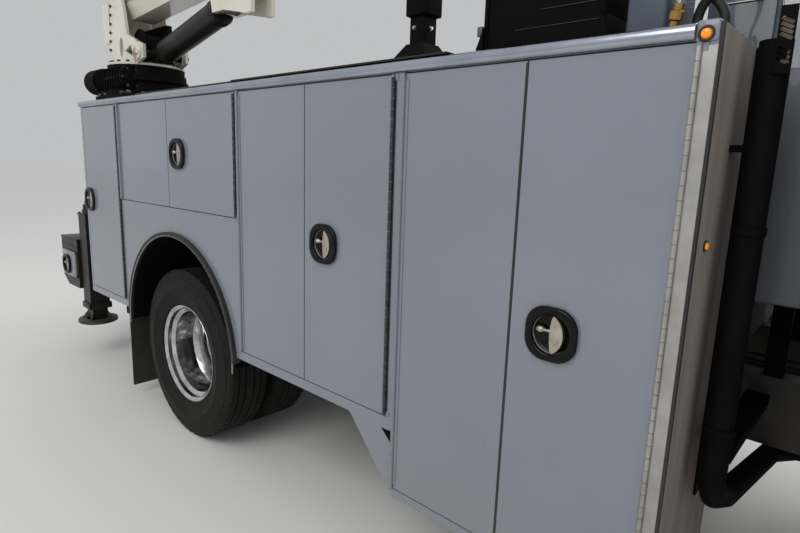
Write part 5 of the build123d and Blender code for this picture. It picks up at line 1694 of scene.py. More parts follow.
@dataclass
class Outrigger:
    """Caps, valves, collars, gussets, hoses and dusty foot plates of the two outriggers."""

    x: float = -510.0
    inboard: float = 195.0
    half: float = 75.0
    top: float = 1200.0
    low: float = 420.0
    foot_z: float = 320.0
    tube_z: float = 768.0

    def column(self, side: int) -> None:
        """Cap with its bolts, lock valve and cylinder head on top, collar round the lower end.

        Args:
            side: RIGHT or LEFT.
        """
        word = WORDS[side]

        def near(x: float, inboard: float, z: float) -> Vector:
            """Point from its distances to the column's axis, at a height."""
            return at(self.x + x, self.inboard + inboard, z, side)

        column = [
            block("cap", near(-84, -84, self.top), near(84, 84, self.top + 12), 4),
            turned("head", [
                (0, 0), (66, 0), (66, 34), (58, 40), (58, 74), (44, 80), (44, 104), (32, 110), (0, 110),
            ], near(0, 0, self.top + 10), UP, 32),
            block("valve", near(-70, 20, self.top + 10), near(-20, 70, self.top + 66), 6),
            *[block("collar", near(-a, -b, self.low - 6), near(c, d, self.low + 44), 3)
              for a, b, c, d in ((87, 87, 87, -73), (87, -73, 87, 87), (87, 87, -73, 87), (-73, 87, 87, 87))],
        ]
        piece(f"outrigger_column_{word}", column, BLACK_PAINT, ROOT)
        corners = [near(u, w, self.top + 12) for u in (-66, 66) for w in (-66, 66)]
        bolts(f"outrigger_cap_bolts_{word}", corners, UP, 18, 11, BARE_STEEL, ROOT)
        gussets = [
            prism("gusset", [
                near(along, self.half + out, self.tube_z - drop)
                for out, drop in ((0, 75), (110, 75), (0, 190))
            ], AHEAD * 0.008, 1, 1)
            for along in (-66, 56)
        ]
        piece(f"outrigger_gussets_{word}", gussets, BLACK_PAINT, ROOT)

    def foot(self, side: int) -> None:
        """The leg's dished foot with ribs.

        Args:
            side: RIGHT or LEFT.
        """
        word = WORDS[side]
        body = f"outrigger_leg_{word}"
        dish = turned(f"outrigger_foot_{word}", [
            (0, 0), (86, 0), (86, 5), (92, 6), (140, 0.6), (149, 1), (151, -4), (151, -20), (147, -25), (140, -28),
            (0, -28),
        ], at(self.x, self.inboard, self.foot_z, side), UP, 56)
        settle(dish, CHASSIS_PAINT, body, 30)
        ribs = []
        for turn in range(4):
            angle = math.radians(45 + 90 * turn)
            out = Vector((math.cos(angle), math.sin(angle), 0))
            wide = Vector((-out.y, out.x, 0)) * 0.004
            foot = at(self.x, self.inboard, self.foot_z, side)
            ribs.append(prism("rib", [
                foot + out * 0.05 - wide, foot + out * 0.132 - wide + Vector((0, 0, 0.002)),
                foot + out * 0.118 - wide + Vector((0, 0, 0.016)), foot + out * 0.083 - wide + Vector((0, 0, 0.062)),
            ], wide * 2, 0.8, 1))
        piece(f"outrigger_foot_ribs_{word}", ribs, CHASSIS_PAINT, body)

    def hoses(self, side: int) -> None:
        """Two hydraulic hoses from the valve back to the body's rear sill.

        Args:
            side: RIGHT or LEFT.
        """
        for i, (off, lift) in enumerate(((0, 0), (26, 26))):
            route = (
                (-45 + off, 46, 60), (-45 + off, 46, 96 + lift), (-20 + off, 96, 120 + lift), (40, 130, 40 + lift),
                (90, 140, -120), (250, 160, -215 - off), (440, 190, -240 - off), (545, 200, -240 - off),
            )
            points = [at(self.x + x, self.inboard + inboard, self.top + z, side) for x, inboard, z in route]
            free_hose(f"outrigger_hose_{i}_{WORDS[side]}", points, 10, ROOT)

    def build(self) -> None:
        """Dress both outriggers."""
        for side in WORDS:
            self.column(side)
            self.foot(side)
            self.hoses(side)


@dataclass
class WorkBench:
    """Deck, vice, rear lamps, blank plate, hitch and latch of the work bench bumper."""

    rear: float = -981.0
    depth: float = 375.0
    half: float = 1120.0
    deck: float = 985.0
    lamp_z: float = 780.0
    red_lamps: tuple[float, float] = (980.0, 850.0)
    clear_lamp: float = 720.0
    vice_x: float = -801.0
    vice_y: float = -760.0

    def top(self) -> None:
        """The worn steel deck and its side rails."""
        low = spot(self.rear, -self.half - 6, self.deck - 4)
        high = spot(self.rear + self.depth + 4, self.half + 6, self.deck + 5)
        deck = block("bench_deck_plate", low, high, 3)
        settle(deck, CHASSIS_PAINT, ROOT)
        start, end = self.rear + 12, self.rear + self.depth - 12
        inner, outer = self.half - 2, self.half + 5
        rails = [
            block("rail", spot(start, side * inner, self.deck - 74), spot(end, side * outer, self.deck - 60), 2, 1)
            for side in (-1, 1)
        ]
        piece("bench_side_rails", rails, BLACK_PAINT, ROOT)

    def vice(self) -> None:
        """Bench vice: jaws with serrated plates, slide, screw and bar."""
        x, y, z = self.vice_x, self.vice_y, self.deck
        parts = [
            turned("swivel", [(0, 0), (112, 0), (112, 12), (80, 20), (76, 34), (0, 34)], spot(x, y, z + 4), UP, 36),
            block("jaw", spot(x - 40, y - 62, z + 120), spot(x + 6, y + 62, z + 200), 8),
            block("jaw", spot(x - 122, y - 62, z + 120), spot(x - 82, y + 62, z + 200), 8),
            block("anvil", spot(x + 10, y - 48, z + 130), spot(x + 128, y + 48, z + 172), 8),
            rod("screw", spot(x - 176, y, z + 96), spot(x - 60, y, z + 96), 17),
            rod("bar", spot(x - 162, y - 110, z + 96), spot(x - 162, y + 110, z + 96), 8),
            *[turned("ball", [(0, 0), (12, 4), (14, 12), (9, 20), (0, 22)], spot(x - 162, y + off, z + 96), way, 16)
              for off, way in ((104, ACROSS), (-104, OUTWARD))],
        ]
        piece("bench_vice", parts, BARE_STEEL, ROOT)
        plates = [
            block("plate", spot(x + a, y - 64, z + 158), spot(x + a + 6, y + 64, z + 202), 1, 1) for a in (-46, -86)
        ]
        piece("vice_jaw_plates", plates, STAINLESS, ROOT)

    def lamps(self) -> None:
        """Tail, turn and reversing lamps, the blank plate and its lamp."""
        for side, word in WORDS.items():
            places = [spot(self.rear, side * y, self.lamp_z) for y in self.red_lamps]
            shells = [prism("shell", oval(place, 124, 124, 60), AFT * 0.003, 1, 1) for place in places]
            lenses = [prism("lens", oval(place, 104, 104, 50, -2), AFT * 0.005, 2, 2) for place in places]
            piece(f"tail_lamp_shells_{word}", shells, RUBBER, ROOT)
            piece(f"tail_lamps_{word}", lenses, RED_LENS, ROOT)
            middle = spot(self.rear, side * self.clear_lamp, self.lamp_z)
            clear = prism(f"reversing_lamp_{word}", oval(middle, 104, 104, 50), AFT * 0.006, 2, 2)
            settle(clear, CLEAR_LENS, ROOT)
        plate = prism("blank_rear_plate", oval(spot(self.rear - 2, 250, 800), *PLATE), AFT * 0.003, 0.6, 1)
        settle(plate, STAINLESS, ROOT)
        hood = block("plate_lamp", spot(self.rear - 8, 215, 884), spot(self.rear + 20, 285, 908), 4)
        settle(hood, PLASTIC, ROOT)

    def hitch(self) -> None:
        """Receiver, its pin and the two tow eyes below the bench."""
        parts = [
            block("receiver", spot(self.rear + 124, -46, 510), spot(self.rear + 330, 46, 572), 4),
            block("mouth", spot(self.rear + 110, -56, 502), spot(self.rear + 140, 56, 574), 4),
            rod("pin", spot(self.rear + 180, -78, 538), spot(self.rear + 180, 78, 538), 8),
        ]
        for side in (-1, 1):
            middle = spot(self.rear + 150, side * 330, 566)
            turns = [math.radians(18 * i) for i in range(20)]
            eye = [middle + Vector((0, 0.042 * math.cos(a), 0.046 * math.sin(a) - 0.028)) for a in turns]
            parts.append(pipe("eye", eye, 11, closed=True))
        piece("hitch_receiver", parts, BLACK_PAINT, ROOT)

    def door(self) -> None:
        """The locker door's painted skin with bright strips as its sunlit edges: painted highlight."""
        skin = block("bench_door_skin", at(-934, 86, 659), at(-640, 90, 874), 2, 2)
        settle(skin, BODY_PAINT, "bench_door")
        # Bright strips on the front and top edges stand in for sunlight on them: painted highlight.
        edges = [
            block("front_edge", at(-640, 85, 660), at(-634, 90, 874), 1, 1),
            block("top_edge", at(-934, 85, 872), at(-634, 90, 876), 1, 1),
        ]
        piece("bench_door_edges", edges, STAINLESS, "bench_door")

    def build(self) -> None:
        """Dress the bench."""
        self.top()
        self.vice()
        self.lamps()
        self.hitch()
        self.door()
        Latch().build([("bench", "bench_door", at(-816, 86, 758), RIGHT)])


@dataclass
class RoofGear:
    """Boom rest, chest, fittings and hoses on the right pack, and the cabinet and exhaust at the bed's front."""

    rest: tuple[float, float] = (2965.0, 270.0)
    chest: tuple[float, float, float, float] = (3348.0, 3748.0, 150.0, 530.0)
    chest_top: float = 2480.0
    stack: tuple[float, float] = (4178.0, 190.0)
    stack_radius: float = 37.0
    stack_bore: float = 33.0
    stack_top: float = 2040.0
    cabinet: tuple[float, float, float, float] = (3859.7, 4079.7, 760.0, 1460.0)

    def boom_rest(self) -> None:
        """Foot with its sloped skirt, square post, sleeve, saddle with wings, bolts and the rubber on the saddle."""
        x, y = self.rest
        foot = PACK_TOP
        stand = [
            block("foot", at(x - 104, y - 104, foot), at(x + 104, y + 104, foot + 14), 4),
            block("post", at(x - 37, y - 38, foot + 60), at(x + 39, y + 38, 2310), 6, 3),
            block("sleeve", at(x - 50, y - 51, 2274), at(x + 54, y + 51, 2700), 7, 3),
            block("saddle", at(x - 76, y - 122, 2696), at(x + 76, y + 122, 2722), 5, 2),
        ]
        skirt = turned("skirt", [(0, 10), (150, 10), (142, 26), (64, 112), (0, 112)], ORIGIN, UP, 4)
        skirt.data.transform(Matrix.Translation(at(x, y, foot)) @ Matrix.Rotation(math.pi / 4, 4, "Z"))
        stand.append(skirt)
        for sign in (-1, 1):
            stand.append(prism("wing", [
                at(x - 6, y + sign * 47, 2600), at(x - 6, y + sign * 116, 2698), at(x - 6, y + sign * 47, 2698),
            ], Vector((0.012, 0, 0)), 1, 1))
        piece("boom_rest_stand", stand, FLAT_BLACK_AND_SHADE, ROOT, replaces=["boom_rest"])
        bolts("rest_bolt_side", [at(x - 10, y - 38, 2232)], OUTWARD, 12, 8, STAINLESS, ROOT)
        bolts("rest_bolt_front", [at(x + 39, y, 2230)], AHEAD, 12, 8, STAINLESS, ROOT)
        corners = [at(x + sx * 86, y + sy * 86, foot + 14) for sx in (-1, 1) for sy in (-1, 1)]
        bolts("rest_foot_bolts", corners, UP, 24, 15, BARE_STEEL, ROOT)
        pad = prism("rest_pad", [
            at(x - 73, y - 118, 2722), at(x + 73, y - 118, 2722), at(x + 73, y - 118, 2755), at(x - 73, y - 118, 2745),
        ], Vector((0, 0.236, 0)), 3, 2)
        settle(pad, RUBBER, ROOT)

    def ribbed_chest(self) -> None:
        """Lid, flange, skirts, corner posts, painted highlight lines, bolts, handle and latches of the chest."""
        low, high, near, far = self.chest
        lid = self.chest_top
        shell = [
            block("lid", at(low - 9, near - 9, lid - 44), at(high + 9, far + 9, lid + 7), 10, 3),
            block("flange", at(low - 30, near - 30, PACK_TOP), at(high + 40, far + 26, PACK_TOP + 14), 4),
        ]
        for x in (low, high):
            for y in (near, far):
                shell.append(block("post", at(x - 8, y - 8, PACK_TOP + 12), at(x + 8, y + 8, lid - 40), 5))
        for x, out in ((low, -1), (high, 1)):
            profile = ((0, 12), (30, 12), (26, 40), (0, 104))
            corners = [at(x + out * reach, near - 20, PACK_TOP + rise) for reach, rise in profile]
            shell.append(prism("skirt", corners, ACROSS * (far - near + 38) * MM, 1, 1))
        piece("chest_shell", shell, FLAT_BLACK_AND_SHADE, ROOT)
        # Grey lines on the black chest stand in for the highlights on its ribs: painted highlight.
        lines = [
            block("upper", at(3542, near - 3, 2194), at(3733, near + 1, 2197), 1, 1),
            block("lower", at(3458, near - 3, 2143), at(3738, near + 1, 2145.5), 0.8, 1),
        ]
        piece("chest_edge_lines", lines, BARE_STEEL, ROOT)
        latches = []
        for x in (low + 90, high - 90):
            latches += [
                block("latch", at(x - 16, near - 16, lid - 92), at(x + 16, near - 6, lid - 22), 3),
                rod("pin", at(x - 13, near - 18, lid - 60), at(x + 13, near - 18, lid - 60), 4),
            ]
        piece("chest_latches", latches, FLAT_BLACK_AND_SHADE, ROOT)
        grip = ((4, 290, 2330), (38, 292, 2332), (46, 300, 2334), (46, 380, 2334), (38, 388, 2332), (4, 390, 2330))
        settle(pipe("chest_handle", [at(high + out, y, z) for out, y, z in grip], 7), BARE_STEEL, ROOT)
        holes = [at(x, near - 22, PACK_TOP + 14) for x in (low + 10, (low + high) / 2, high - 10)]
        bolts("chest_bolts", holes, UP, 18, 11, BARE_STEEL, ROOT)

    def fittings(self) -> None:
        """Slate locker, coupler, plates and small box on the pack's top; cooler and painted shadow before its end."""
        settle(block("slate_locker", at(3806, 170, PACK_TOP), at(3914, 420, 2330), 9, 3), SLATE_SHADED_PAINT, ROOT)
        seam = [
            block("locker_band", at(3803, 167, 2228), at(3917, 423, 2240), 2, 1),
            block("locker_foot", at(3797, 160, PACK_TOP), at(3923, 430, PACK_TOP + 12), 3),
        ]
        piece("slate_locker_bands", seam, BLACK_PAINT, ROOT)
        coupler = turned("quick_coupler", [
            (0, 0), (17, 0), (17, 16), (12, 20), (12, 34), (19, 38), (19, 58), (13, 62), (13, 76), (0, 78),
        ], at(3950, 120, PACK_TOP + 6), Vector((0.2, -0.1, 1)), 24)
        settle(coupler, BRASS, ROOT)
        plate = [
            block("cover_plate", at(2075, 12, PACK_TOP), at(2560, 300, PACK_TOP + 16), 3),
            block("edge_strip", at(930, -1, PACK_TOP), at(3300, 30, PACK_TOP + 9), 2, 1),
            block("edge_strip", at(2000, -1, PACK_TOP), at(3300, 44, PACK_TOP + 14), 2, 1),
        ]
        piece("pack_top_plates", plate, BLACK_PAINT, ROOT)
        settle(block("cooler_case", at(4150, 420, 1340), at(4296, 1560, 2010), 10, 3), RUSTED_SHADED_SLATE, ROOT)
        legs = [block("leg", at(4180, y, 1006), at(4240, y + 50, 1360), 4) for y in (800, 1390)]
        piece("cooler_legs", legs, FLAT_BLACK_AND_SHADE, ROOT)
        # A black sheet where the cab's shadow falls on the front end: painted shadow. The thin grey line along it marks
        # the shadow's lit edge: painted highlight.
        settle(block("front_black_panel", at(4104, 352, 700), at(4112, 556, 2058), 2, 1), FLAT_BLACK_AND_SHADE, ROOT)
        edge = prism("front_panel_edge", [
            at(4112, 348, 1690), at(4112, 352, 1690), at(4112, 432, 760), at(4112, 428, 760),
        ], Vector((0.003, 0, 0)), 0.4, 1)
        settle(edge, BARE_STEEL, ROOT)
        small = block("junction_box", at(3316, 140, PACK_TOP + 80), at(3336, 166, PACK_TOP + 112), 3)
        settle(small, SLATE_SHADED_PAINT, ROOT)

    def hoses(self) -> None:
        """Two tool hoses that cross in a loop above the pack."""
        routes = (
            [(3948, 330, 2062), (3948, 330, 2110), (3952, 326, 2170), (3990, 310, 2215), (4030, 300, 2270),
             (4010, 310, 2350), (3960, 330, 2330), (3925, 350, 2270), (3912, 360, 2235)],
            [(4020, 330, 2062), (4020, 330, 2110), (4022, 330, 2160), (3985, 326, 2205), (3950, 330, 2260),
             (3960, 340, 2370), (3990, 380, 2390), (4010, 500, 2370), (4014, 640, 2340), (4014, 762, 2330)],
        )
        for i, route in enumerate(routes):
            free_hose(f"tool_hose_{i}", [at(*p) for p in route], 14, ROOT)

    def tall_cabinet(self) -> None:
        """Doors, handles, drip rail and louvres of the tall cabinet."""
        low, high, near, far = self.cabinet
        edges = [
            block("cap", at(low - 8, near - 8, 2474), at(high + 8, far + 8, 2494), 6, 3),
            block("door", at(low + 14, near - 9, 1230), at(high - 14, near, 2440), 5, 2),
            block("door", at(low - 9, near + 20, 1230), at(low, (near + far) / 2 - 6, 2440), 5, 2),
            block("door", at(low - 9, (near + far) / 2 + 6, 1230), at(low, far - 20, 2440), 5, 2),
        ]
        piece("cabinet_doors", edges, SLATE_SHADED_PAINT, ROOT)
        trim = [
            block("edge", at(high - 2, near - 3, 1164), at(high + 4, near + 6, 2470), 2, 1),
            *[block("louvre", at(low + 50, near - 14, z), at(high - 50, near - 7, z + 9), 3, 1)
              for z in range(2280, 2400, 22)],
        ]
        piece("cabinet_trim", trim, STAINLESS, ROOT)
        bow = ((9, 0), (39, 4), (43, 12), (43, 110), (39, 118), (9, 122))
        handles = [
            pipe("pull", [at(low - out, (near + far) / 2 + off, 1760 + rise) for out, rise in bow], 6)
            for off in (-30, 30)
        ]
        piece("cabinet_handles", handles, CHROME, ROOT)

    def exhaust(self) -> None:
        """Slim upright pipe with its clamps and bend, and the slotted plate at its mouth, for the CAD stack."""
        x, y = self.stack
        radius, bore, top = self.stack_radius, self.stack_bore, self.stack_top
        foot = at(x, y, 0)
        bend = [
            at(x, y, 900), at(x, y + 4, 850), at(x + 4, y + 40, 790), at(x + 14, y + 140, 752),
            at(x + 60, y + 640, 716), at(x + 120, y + 760, 700), at(x + 260, y + 806, 700), at(5830, 1010, 765),
        ]
        # Pipe, clamps, arms and guard are black as they look in the shade behind the cab: partly painted shade.
        stack = [
            turned("tube", [(bore, 880), (radius, 880), (radius, top), (bore, top)], foot, UP, 40),
            pipe("bend", bend, radius - 1, sides=6),
            *[turned("clamp", [
                (radius - 1, z), (radius + 4, z), (radius + 4, z + 22), (radius - 1, z + 22),
            ], foot, UP, 40) for z in (1000, 1560)],
            block("arm", at(x - 36, y + 30, 905), at(x + 36, SIDE_PLANE - 432.4, 945), 3),
            block("arm", at(4100, y + 10, 1772), at(x - 20, y + 40, 1790), 3),
        ]
        piece("exhaust_pipe", stack, FLAT_BLACK_AND_SHADE, ROOT, replaces=["exhaust_stack"])
        plate = block("exhaust_guard", at(4184, 148, 1956), at(4220, 152, 2112), 1.5, 2)
        slot = block("slot", Vector((-0.015, -0.02, -0.0042)), Vector((0.015, 0.02, 0.0042)), 1, 1)
        rows = [
            Matrix.Translation(at(4202, 150, z)) @ Matrix.Rotation(math.radians(28), 4, "Y")
            for z in (1986, 1998, 2010, 2042, 2054, 2066, 2078)
        ]
        cut(plate, copies("slots", slot, rows))
        stay = block("stay", at(4196, 152, 1990), at(4208, 190, 2020), 2)
        piece("exhaust_guard", [plate, stay], FLAT_BLACK_AND_SHADE, ROOT, replaces=["exhaust_stack"])
        # The tan brace shows through the slots as their bright bars: painted light.
        settle(block("exhaust_brace", at(4188, 158, 1980), at(4216, 161, 2088), 1, 1), DUSTY_STEEL_AND_SLOT_LIGHT, ROOT)

    def build(self) -> None:
        """Dress the top of the right pack and the front of the bed."""
        self.boom_rest()
        self.ribbed_chest()
        self.fittings()
        self.hoses()
        self.tall_cabinet()
        self.exhaust()


@dataclass
class Cab:
    """Handles, mirrors, lamps, wipers, gaskets, steps, nose, seats and controls of the cab."""

    half: float = 1050.0
    roof: float = 2580.0
    seat_rows: tuple[float, float] = (-500.0, 500.0)
    mirror: tuple[float, float] = (1101.0, 1240.0)
    headlamp: tuple[float, float, float] = (2646.0, 870.0, 1000.0)
    tank: tuple[float, float] = (712.3, 750.0)
    hub: tuple[float, float, float] = (907.0, 500.0, 1815.0)

    def doors(self) -> None:
        """Handles, mirror shells and glass, window gaskets and body lines of the cab doors."""
        for side, word in WORDS.items():
            body = f"cab_door_{word}"
            face = side * self.half
            y = face + side * 2
            handle = [
                pipe("grip", [cab(x, y + side * out, z) for x, out, z in (
                    (210, 0, 1640), (214, 26, 1642), (224, 32, 1643), (330, 32, 1643), (340, 26, 1642), (344, 0, 1640),
                )], 8),
                prism("plate", [
                    cab(277 + u, y - side * 2, 1640 + w) for u, w in rounded_outline(190, 60, 24)
                ], ACROSS * side * 0.006, 1.5, 1),
            ]
            piece(f"cab_door_handle_{word}", handle, CHROME, body)
            outline = [(190, 1820), (190, 2440), (880, 2440), (1150, 1820)]
            gasket = [cab(x, face, z) for x, z in self.shrunk(outline, -6)]
            settle(pipe(f"window_gasket_{word}", gasket, 9, closed=True), RUBBER, body)
            swage = [
                block("swage", cab(150, face - side * 3, low), cab(1220, face + side * out, high), 4, 2)
                for low, high, out in ((1500, 1520, 6), (1250, 1264, 5))
            ]
            piece(f"cab_door_swage_{word}", swage, BODY_PAINT, body)
            low, high = 1830, 2310
            y0, y1 = sorted((side * 1136, side * 1344))
            shell = block("mirror_shell", cab(1101, y0, low - 4), cab(1179, y1, high + 4), 13, 4)
            arms = [
                pipe("arm", [cab(1150, side * 1046, z0), cab(1165, side * 1100, z1), cab(1150, side * 1160, z1)], 11)
                for z0, z1 in ((1790, 1870), (2120, 2250))
            ]
            piece(f"mirror_shell_{word}", [shell, *arms], PLASTIC, body)
            for name, z0, z1 in (("mirror_glass", 2010, 2290), ("mirror_wide_glass", 1850, 1985)):
                middle = (z0 + z1) / 2
                outline = oval(cab(self.mirror[0], side * self.mirror[1], middle), 172, z1 - z0, 18)
                settle(prism(f"{name}_{word}", outline, AFT * 0.004, 1, 1), MIRROR, body)

    @staticmethod
    def shrunk(outline: Sequence[tuple[float, float]], inset: float) -> list[tuple[float, float]]:
        """Move an outline's corners towards its middle, and round it with midpoints.

        Args:
            outline: Corners along and up, in mm.
            inset: How far each corner moves in; below 0 it moves out.

        Returns:
            The new corners.
        """
        cx = sum(p[0] for p in outline) / len(outline)
        cz = sum(p[1] for p in outline) / len(outline)
        moved = [(x + (cx - x) * inset / 400, z + (cz - z) * inset / 400) for x, z in outline]
        points = []
        for i, (x, z) in enumerate(moved):
            (px, pz), (nx, nz) = moved[i - 1], moved[(i + 1) % len(moved)]
            for back, ahead in ((0.07, 0), (0.02, 0.02), (0, 0.07)):
                points.append((x + (px - x) * back + (nx - x) * ahead, z + (pz - z) * back + (nz - z) * ahead))
        return points

    def glass_edges(self) -> None:
        """Rubber round the windscreen and the rear window, and the wipers."""
        shares = ((0.03, -920), (0.03, 920), (0.95, 920), (0.95, -920))
        screen = [(1458 - share * 372, y, 1872 + share * 588) for share, y in shares]
        loop = []
        for i, corner in enumerate(screen):
            for other in (screen[i - 1], screen[(i + 1) % 4]):
                loop.append(cab(*(c + (o - c) * 0.06 for c, o in zip(corner, other))) + Vector((0.01, 0, 0.004)))
        settle(pipe("screen_gasket", loop, 11, closed=True), RUBBER, ROOT)
        rear = oval(cab(-2, 0, 2160), 1312, 432, 60)
        settle(pipe("rear_window_gasket", rear, 10, closed=True), RUBBER, ROOT)
        arms = []
        for y in (-420, 420):
            foot, tip = cab(1500, y, 1824), cab(1352, y + 300, 2070)
            arms += [
                turned("pivot", [(0, 0), (15, 0), (15, 14), (9, 20), (0, 20)], foot, Vector((0.85, 0, 0.53)), 20),
                pipe("arm", [
                    foot + Vector((0.014, 0, 0.01)), foot.lerp(tip, 0.5) + Vector((0.022, 0, 0.014)),
                    tip + Vector((0.012, 0, 0.008)),
                ], 5),
                block("blade", Vector((-0.004, -0.30, -0.006)), Vector((0.004, 0.30, 0.008)), 2, 1),
            ]
            lean = Matrix.Rotation(math.radians(14), 4, Vector((0.85, 0, 0.527)))
            arms[-1].data.transform(Matrix.Translation(tip + Vector((0.008, 0, 0.005))) @ lean)
        piece("wipers", arms, PLASTIC, ROOT)

    def roof_gear(self) -> None:
        """Five roof marker lamps, the visor, an aerial and the drip rails."""
        shells, lenses = [], []
        for y in (-700, -350, 0, 350, 700):
            shells.append(block("shell", cab(930, y - 62, self.roof - 46), cab(1010, y + 62, self.roof + 10), 8, 3))
            lenses.append(block("lens", cab(972, y - 54, self.roof - 40), cab(1018, y + 54, self.roof + 26), 11, 4))
        piece("roof_lamp_bases", shells, PLASTIC, ROOT)
        piece("roof_lamps", lenses, AMBER, ROOT)
        inner = self.half - 8
        rails = [
            block("rail", cab(110, side * inner, self.roof - 14), cab(930, side * (inner + 20), self.roof - 2), 4)
            for side in (-1, 1)
        ]
        piece("drip_rails", rails, BODY_PAINT, ROOT)
        profile = ((1010, 44), (1150, 136), (1160, 130), (1016, 28))
        visor = prism("sun_visor", [cab(x, -930, self.roof - drop) for x, drop in profile], ACROSS * 1.86, 3)
        settle(visor, BODY_PAINT, ROOT)
        mast = [
            turned("base", [(0, 0), (26, 0), (24, 10), (10, 22), (0, 22)], cab(520, -820, self.roof - 2), UP, 24),
            rod("mast", cab(520, -820, self.roof + 18), cab(470, -820, self.roof + 420), 2.2, 0.4, 10),
        ]
        piece("aerial", mast, PLASTIC, ROOT)

    def grips_and_steps(self) -> None:
        """Grab rails behind the doors, step treads and the tank's straps and cap."""
        for side, word in WORDS.items():
            y = side * (self.half + 2)
            bow = ((0, 1480), (46, 1486), (56, 1500), (56, 2250), (46, 2264), (0, 2270))
            rail = [cab(60, y + side * out, z) for out, z in bow]
            settle(pipe(f"grab_rail_{word}", rail, 15, sides=4), STAINLESS, ROOT)
            treads = [
                block("tread", cab(x, side * 968, z), cab(x + 40, side * 1052, z + 5), 2, 1)
                for z in (775, 575) for x in range(176, 785, 76)
            ]
            piece(f"step_treads_{word}", treads, STAINLESS, ROOT)
            corner = 126 if side == LEFT else 26
            tank_y, tank_z = self.tank
            straps = [
                pipe("strap_bead", oval(cab(x, side * tank_y, tank_z), 568, 468, corner, steps=8), 5, closed=True)
                for x in (200, 246, 760, 806)
            ]
            piece(f"tank_straps_{word}", straps, STAINLESS, ROOT)
        cap = turned("fuel_cap", [
            (0, 0), (52, 0), (52, 20), (58, 24), (58, 44), (50, 50), (20, 52), (0, 52),
        ], cab(300, 922, 962), Vector((0, 0.447, 0.894)), 32)
        settle(cap, CHROME, ROOT)

    def nose(self) -> None:
        """Grille mesh and surround, headlamps, turn lamps, hood latches and louvres, fender lips, hooks and plate."""
        mesh = [rod("wire", cab(2600, y, 1010), cab(2600, y, 1390), 2.5, 0, 6) for y in range(-500, 501, 25)]
        piece("grille_mesh", mesh, BLACK_PAINT, "hood")
        surround = oval(cab(2622, 0, 1200), 1060, 440, 40)
        settle(pipe("grille_surround", surround, 13, closed=True), CHROME, "hood")
        for side, word in WORDS.items():
            lamp_x, lamp_y, lamp_z = self.headlamp
            lamp = cab(lamp_x, side * lamp_y, lamp_z)
            bezel = pipe(f"headlamp_bezel_{word}", oval(lamp, 320, 180, 38, 4), 9, closed=True)
            settle(bezel, CHROME, "hood")
            lens = prism(f"headlamp_lens_{word}", oval(lamp, 304, 164, 34), AHEAD * 0.012, 5, 3)
            settle(lens, CLEAR_LENS, "hood")
            turn = block(f"turn_lamp_{word}", cab(2500, side * 1182, 1010), cab(2592, side * 1204, 1072), 9, 3)
            settle(turn, AMBER, "hood")
            latch = [
                block("strap", cab(1590, side * 774, 1330), cab(1626, side * 792, 1440), 4),
                block("keeper", cab(1582, side * 772, 1290), cab(1634, side * 796, 1326), 5),
            ]
            piece(f"hood_latch_{word}", latch, RUBBER, "hood")
            vents = [
                block("louvre", cab(x, side * 776, 1440), cab(x + 24, side * 788, 1600), 4, 1)
                for x in range(1720, 2043, 46)
            ]
            piece(f"hood_louvres_{word}", vents, BODY_PAINT, "hood")
            turns = [math.radians(degree) for degree in range(31, 116, 5)]
            lip = [at(FRONT_AXLE + 606 * math.cos(a), 26, HUB_Z + 606 * math.sin(a), side) for a in turns]
            settle(pipe(f"fender_lip_{word}", lip, 9), RUBBER, "hood")
            bow = ((2590, 500), (2636, 484), (2674, 464), (2684, 442), (2668, 424), (2636, 424))
            hook = pipe(f"tow_hook_{word}", [cab(x, side * 250, z) for x, z in bow], 11, sides=4)
            settle(hook, BLACK_PAINT, ROOT)
        plate = prism("blank_front_plate", oval(cab(2700, 0, 610), *PLATE), AHEAD * 0.003, 0.6, 1)
        settle(plate, STAINLESS, ROOT)
        hood_lip = block("hood_rear_seal", cab(1577, -770, 1778), cab(1594, 770, 1794), 5)
        settle(hood_lip, RUBBER, "hood")

    def seats(self) -> None:
        """Two padded seats: swelled by cloth simulation, with sewn channels, belt buckles and pedestals."""
        for index, y in enumerate(self.seat_rows):
            pads = []
            for name, low, high, reach in (
                ("cushion", (240, y - 244, 1396), (728, y + 244, 1498), 26.0),
                ("backrest", (146, y - 232, 1476), (254, y + 232, 2026), 24.0),
                ("headrest", (150, y - 130, 2062), (236, y + 130, 2206), 12.0),
            ):
                pads.append(self.pad(f"seat_{name}_{index}", cab(*low), cab(*high), reach, name))
            for pad in pads:
                settle(pad, SEAT_CLOTH, ROOT, 60, ["seats"])
            posts = [
                block("base", cab(290, y - 180, 1120), cab(680, y + 180, 1180), 8),
                turned("riser", [
                    (0, 0), (90, 0), (90, 60), (70, 90), (70, 190), (110, 214), (0, 214),
                ], cab(480, y, 1176), UP, 32),
                block("pan", cab(236, y - 236, 1376), cab(724, y + 236, 1400), 8),
                block("spine", cab(128, y - 200, 1440), cab(152, y + 200, 2000), 8),
                *[rod("stay", cab(190, y + off, 1990), cab(190, y + off, 2090), 6) for off in (-60, 60)],
            ]
            piece(f"seat_frame_{index}", posts, PLASTIC, ROOT)
            out = 1 if y > 0 else -1
            buckle = [
                block("stalk", cab(330, y - out * 262, 1380), cab(352, y - out * 250, 1520), 4),
                block("buckle", cab(318, y - out * 268, 1510), cab(366, y - out * 246, 1580), 7),
            ]
            piece(f"belt_buckle_{index}", buckle, PLASTIC, ROOT)

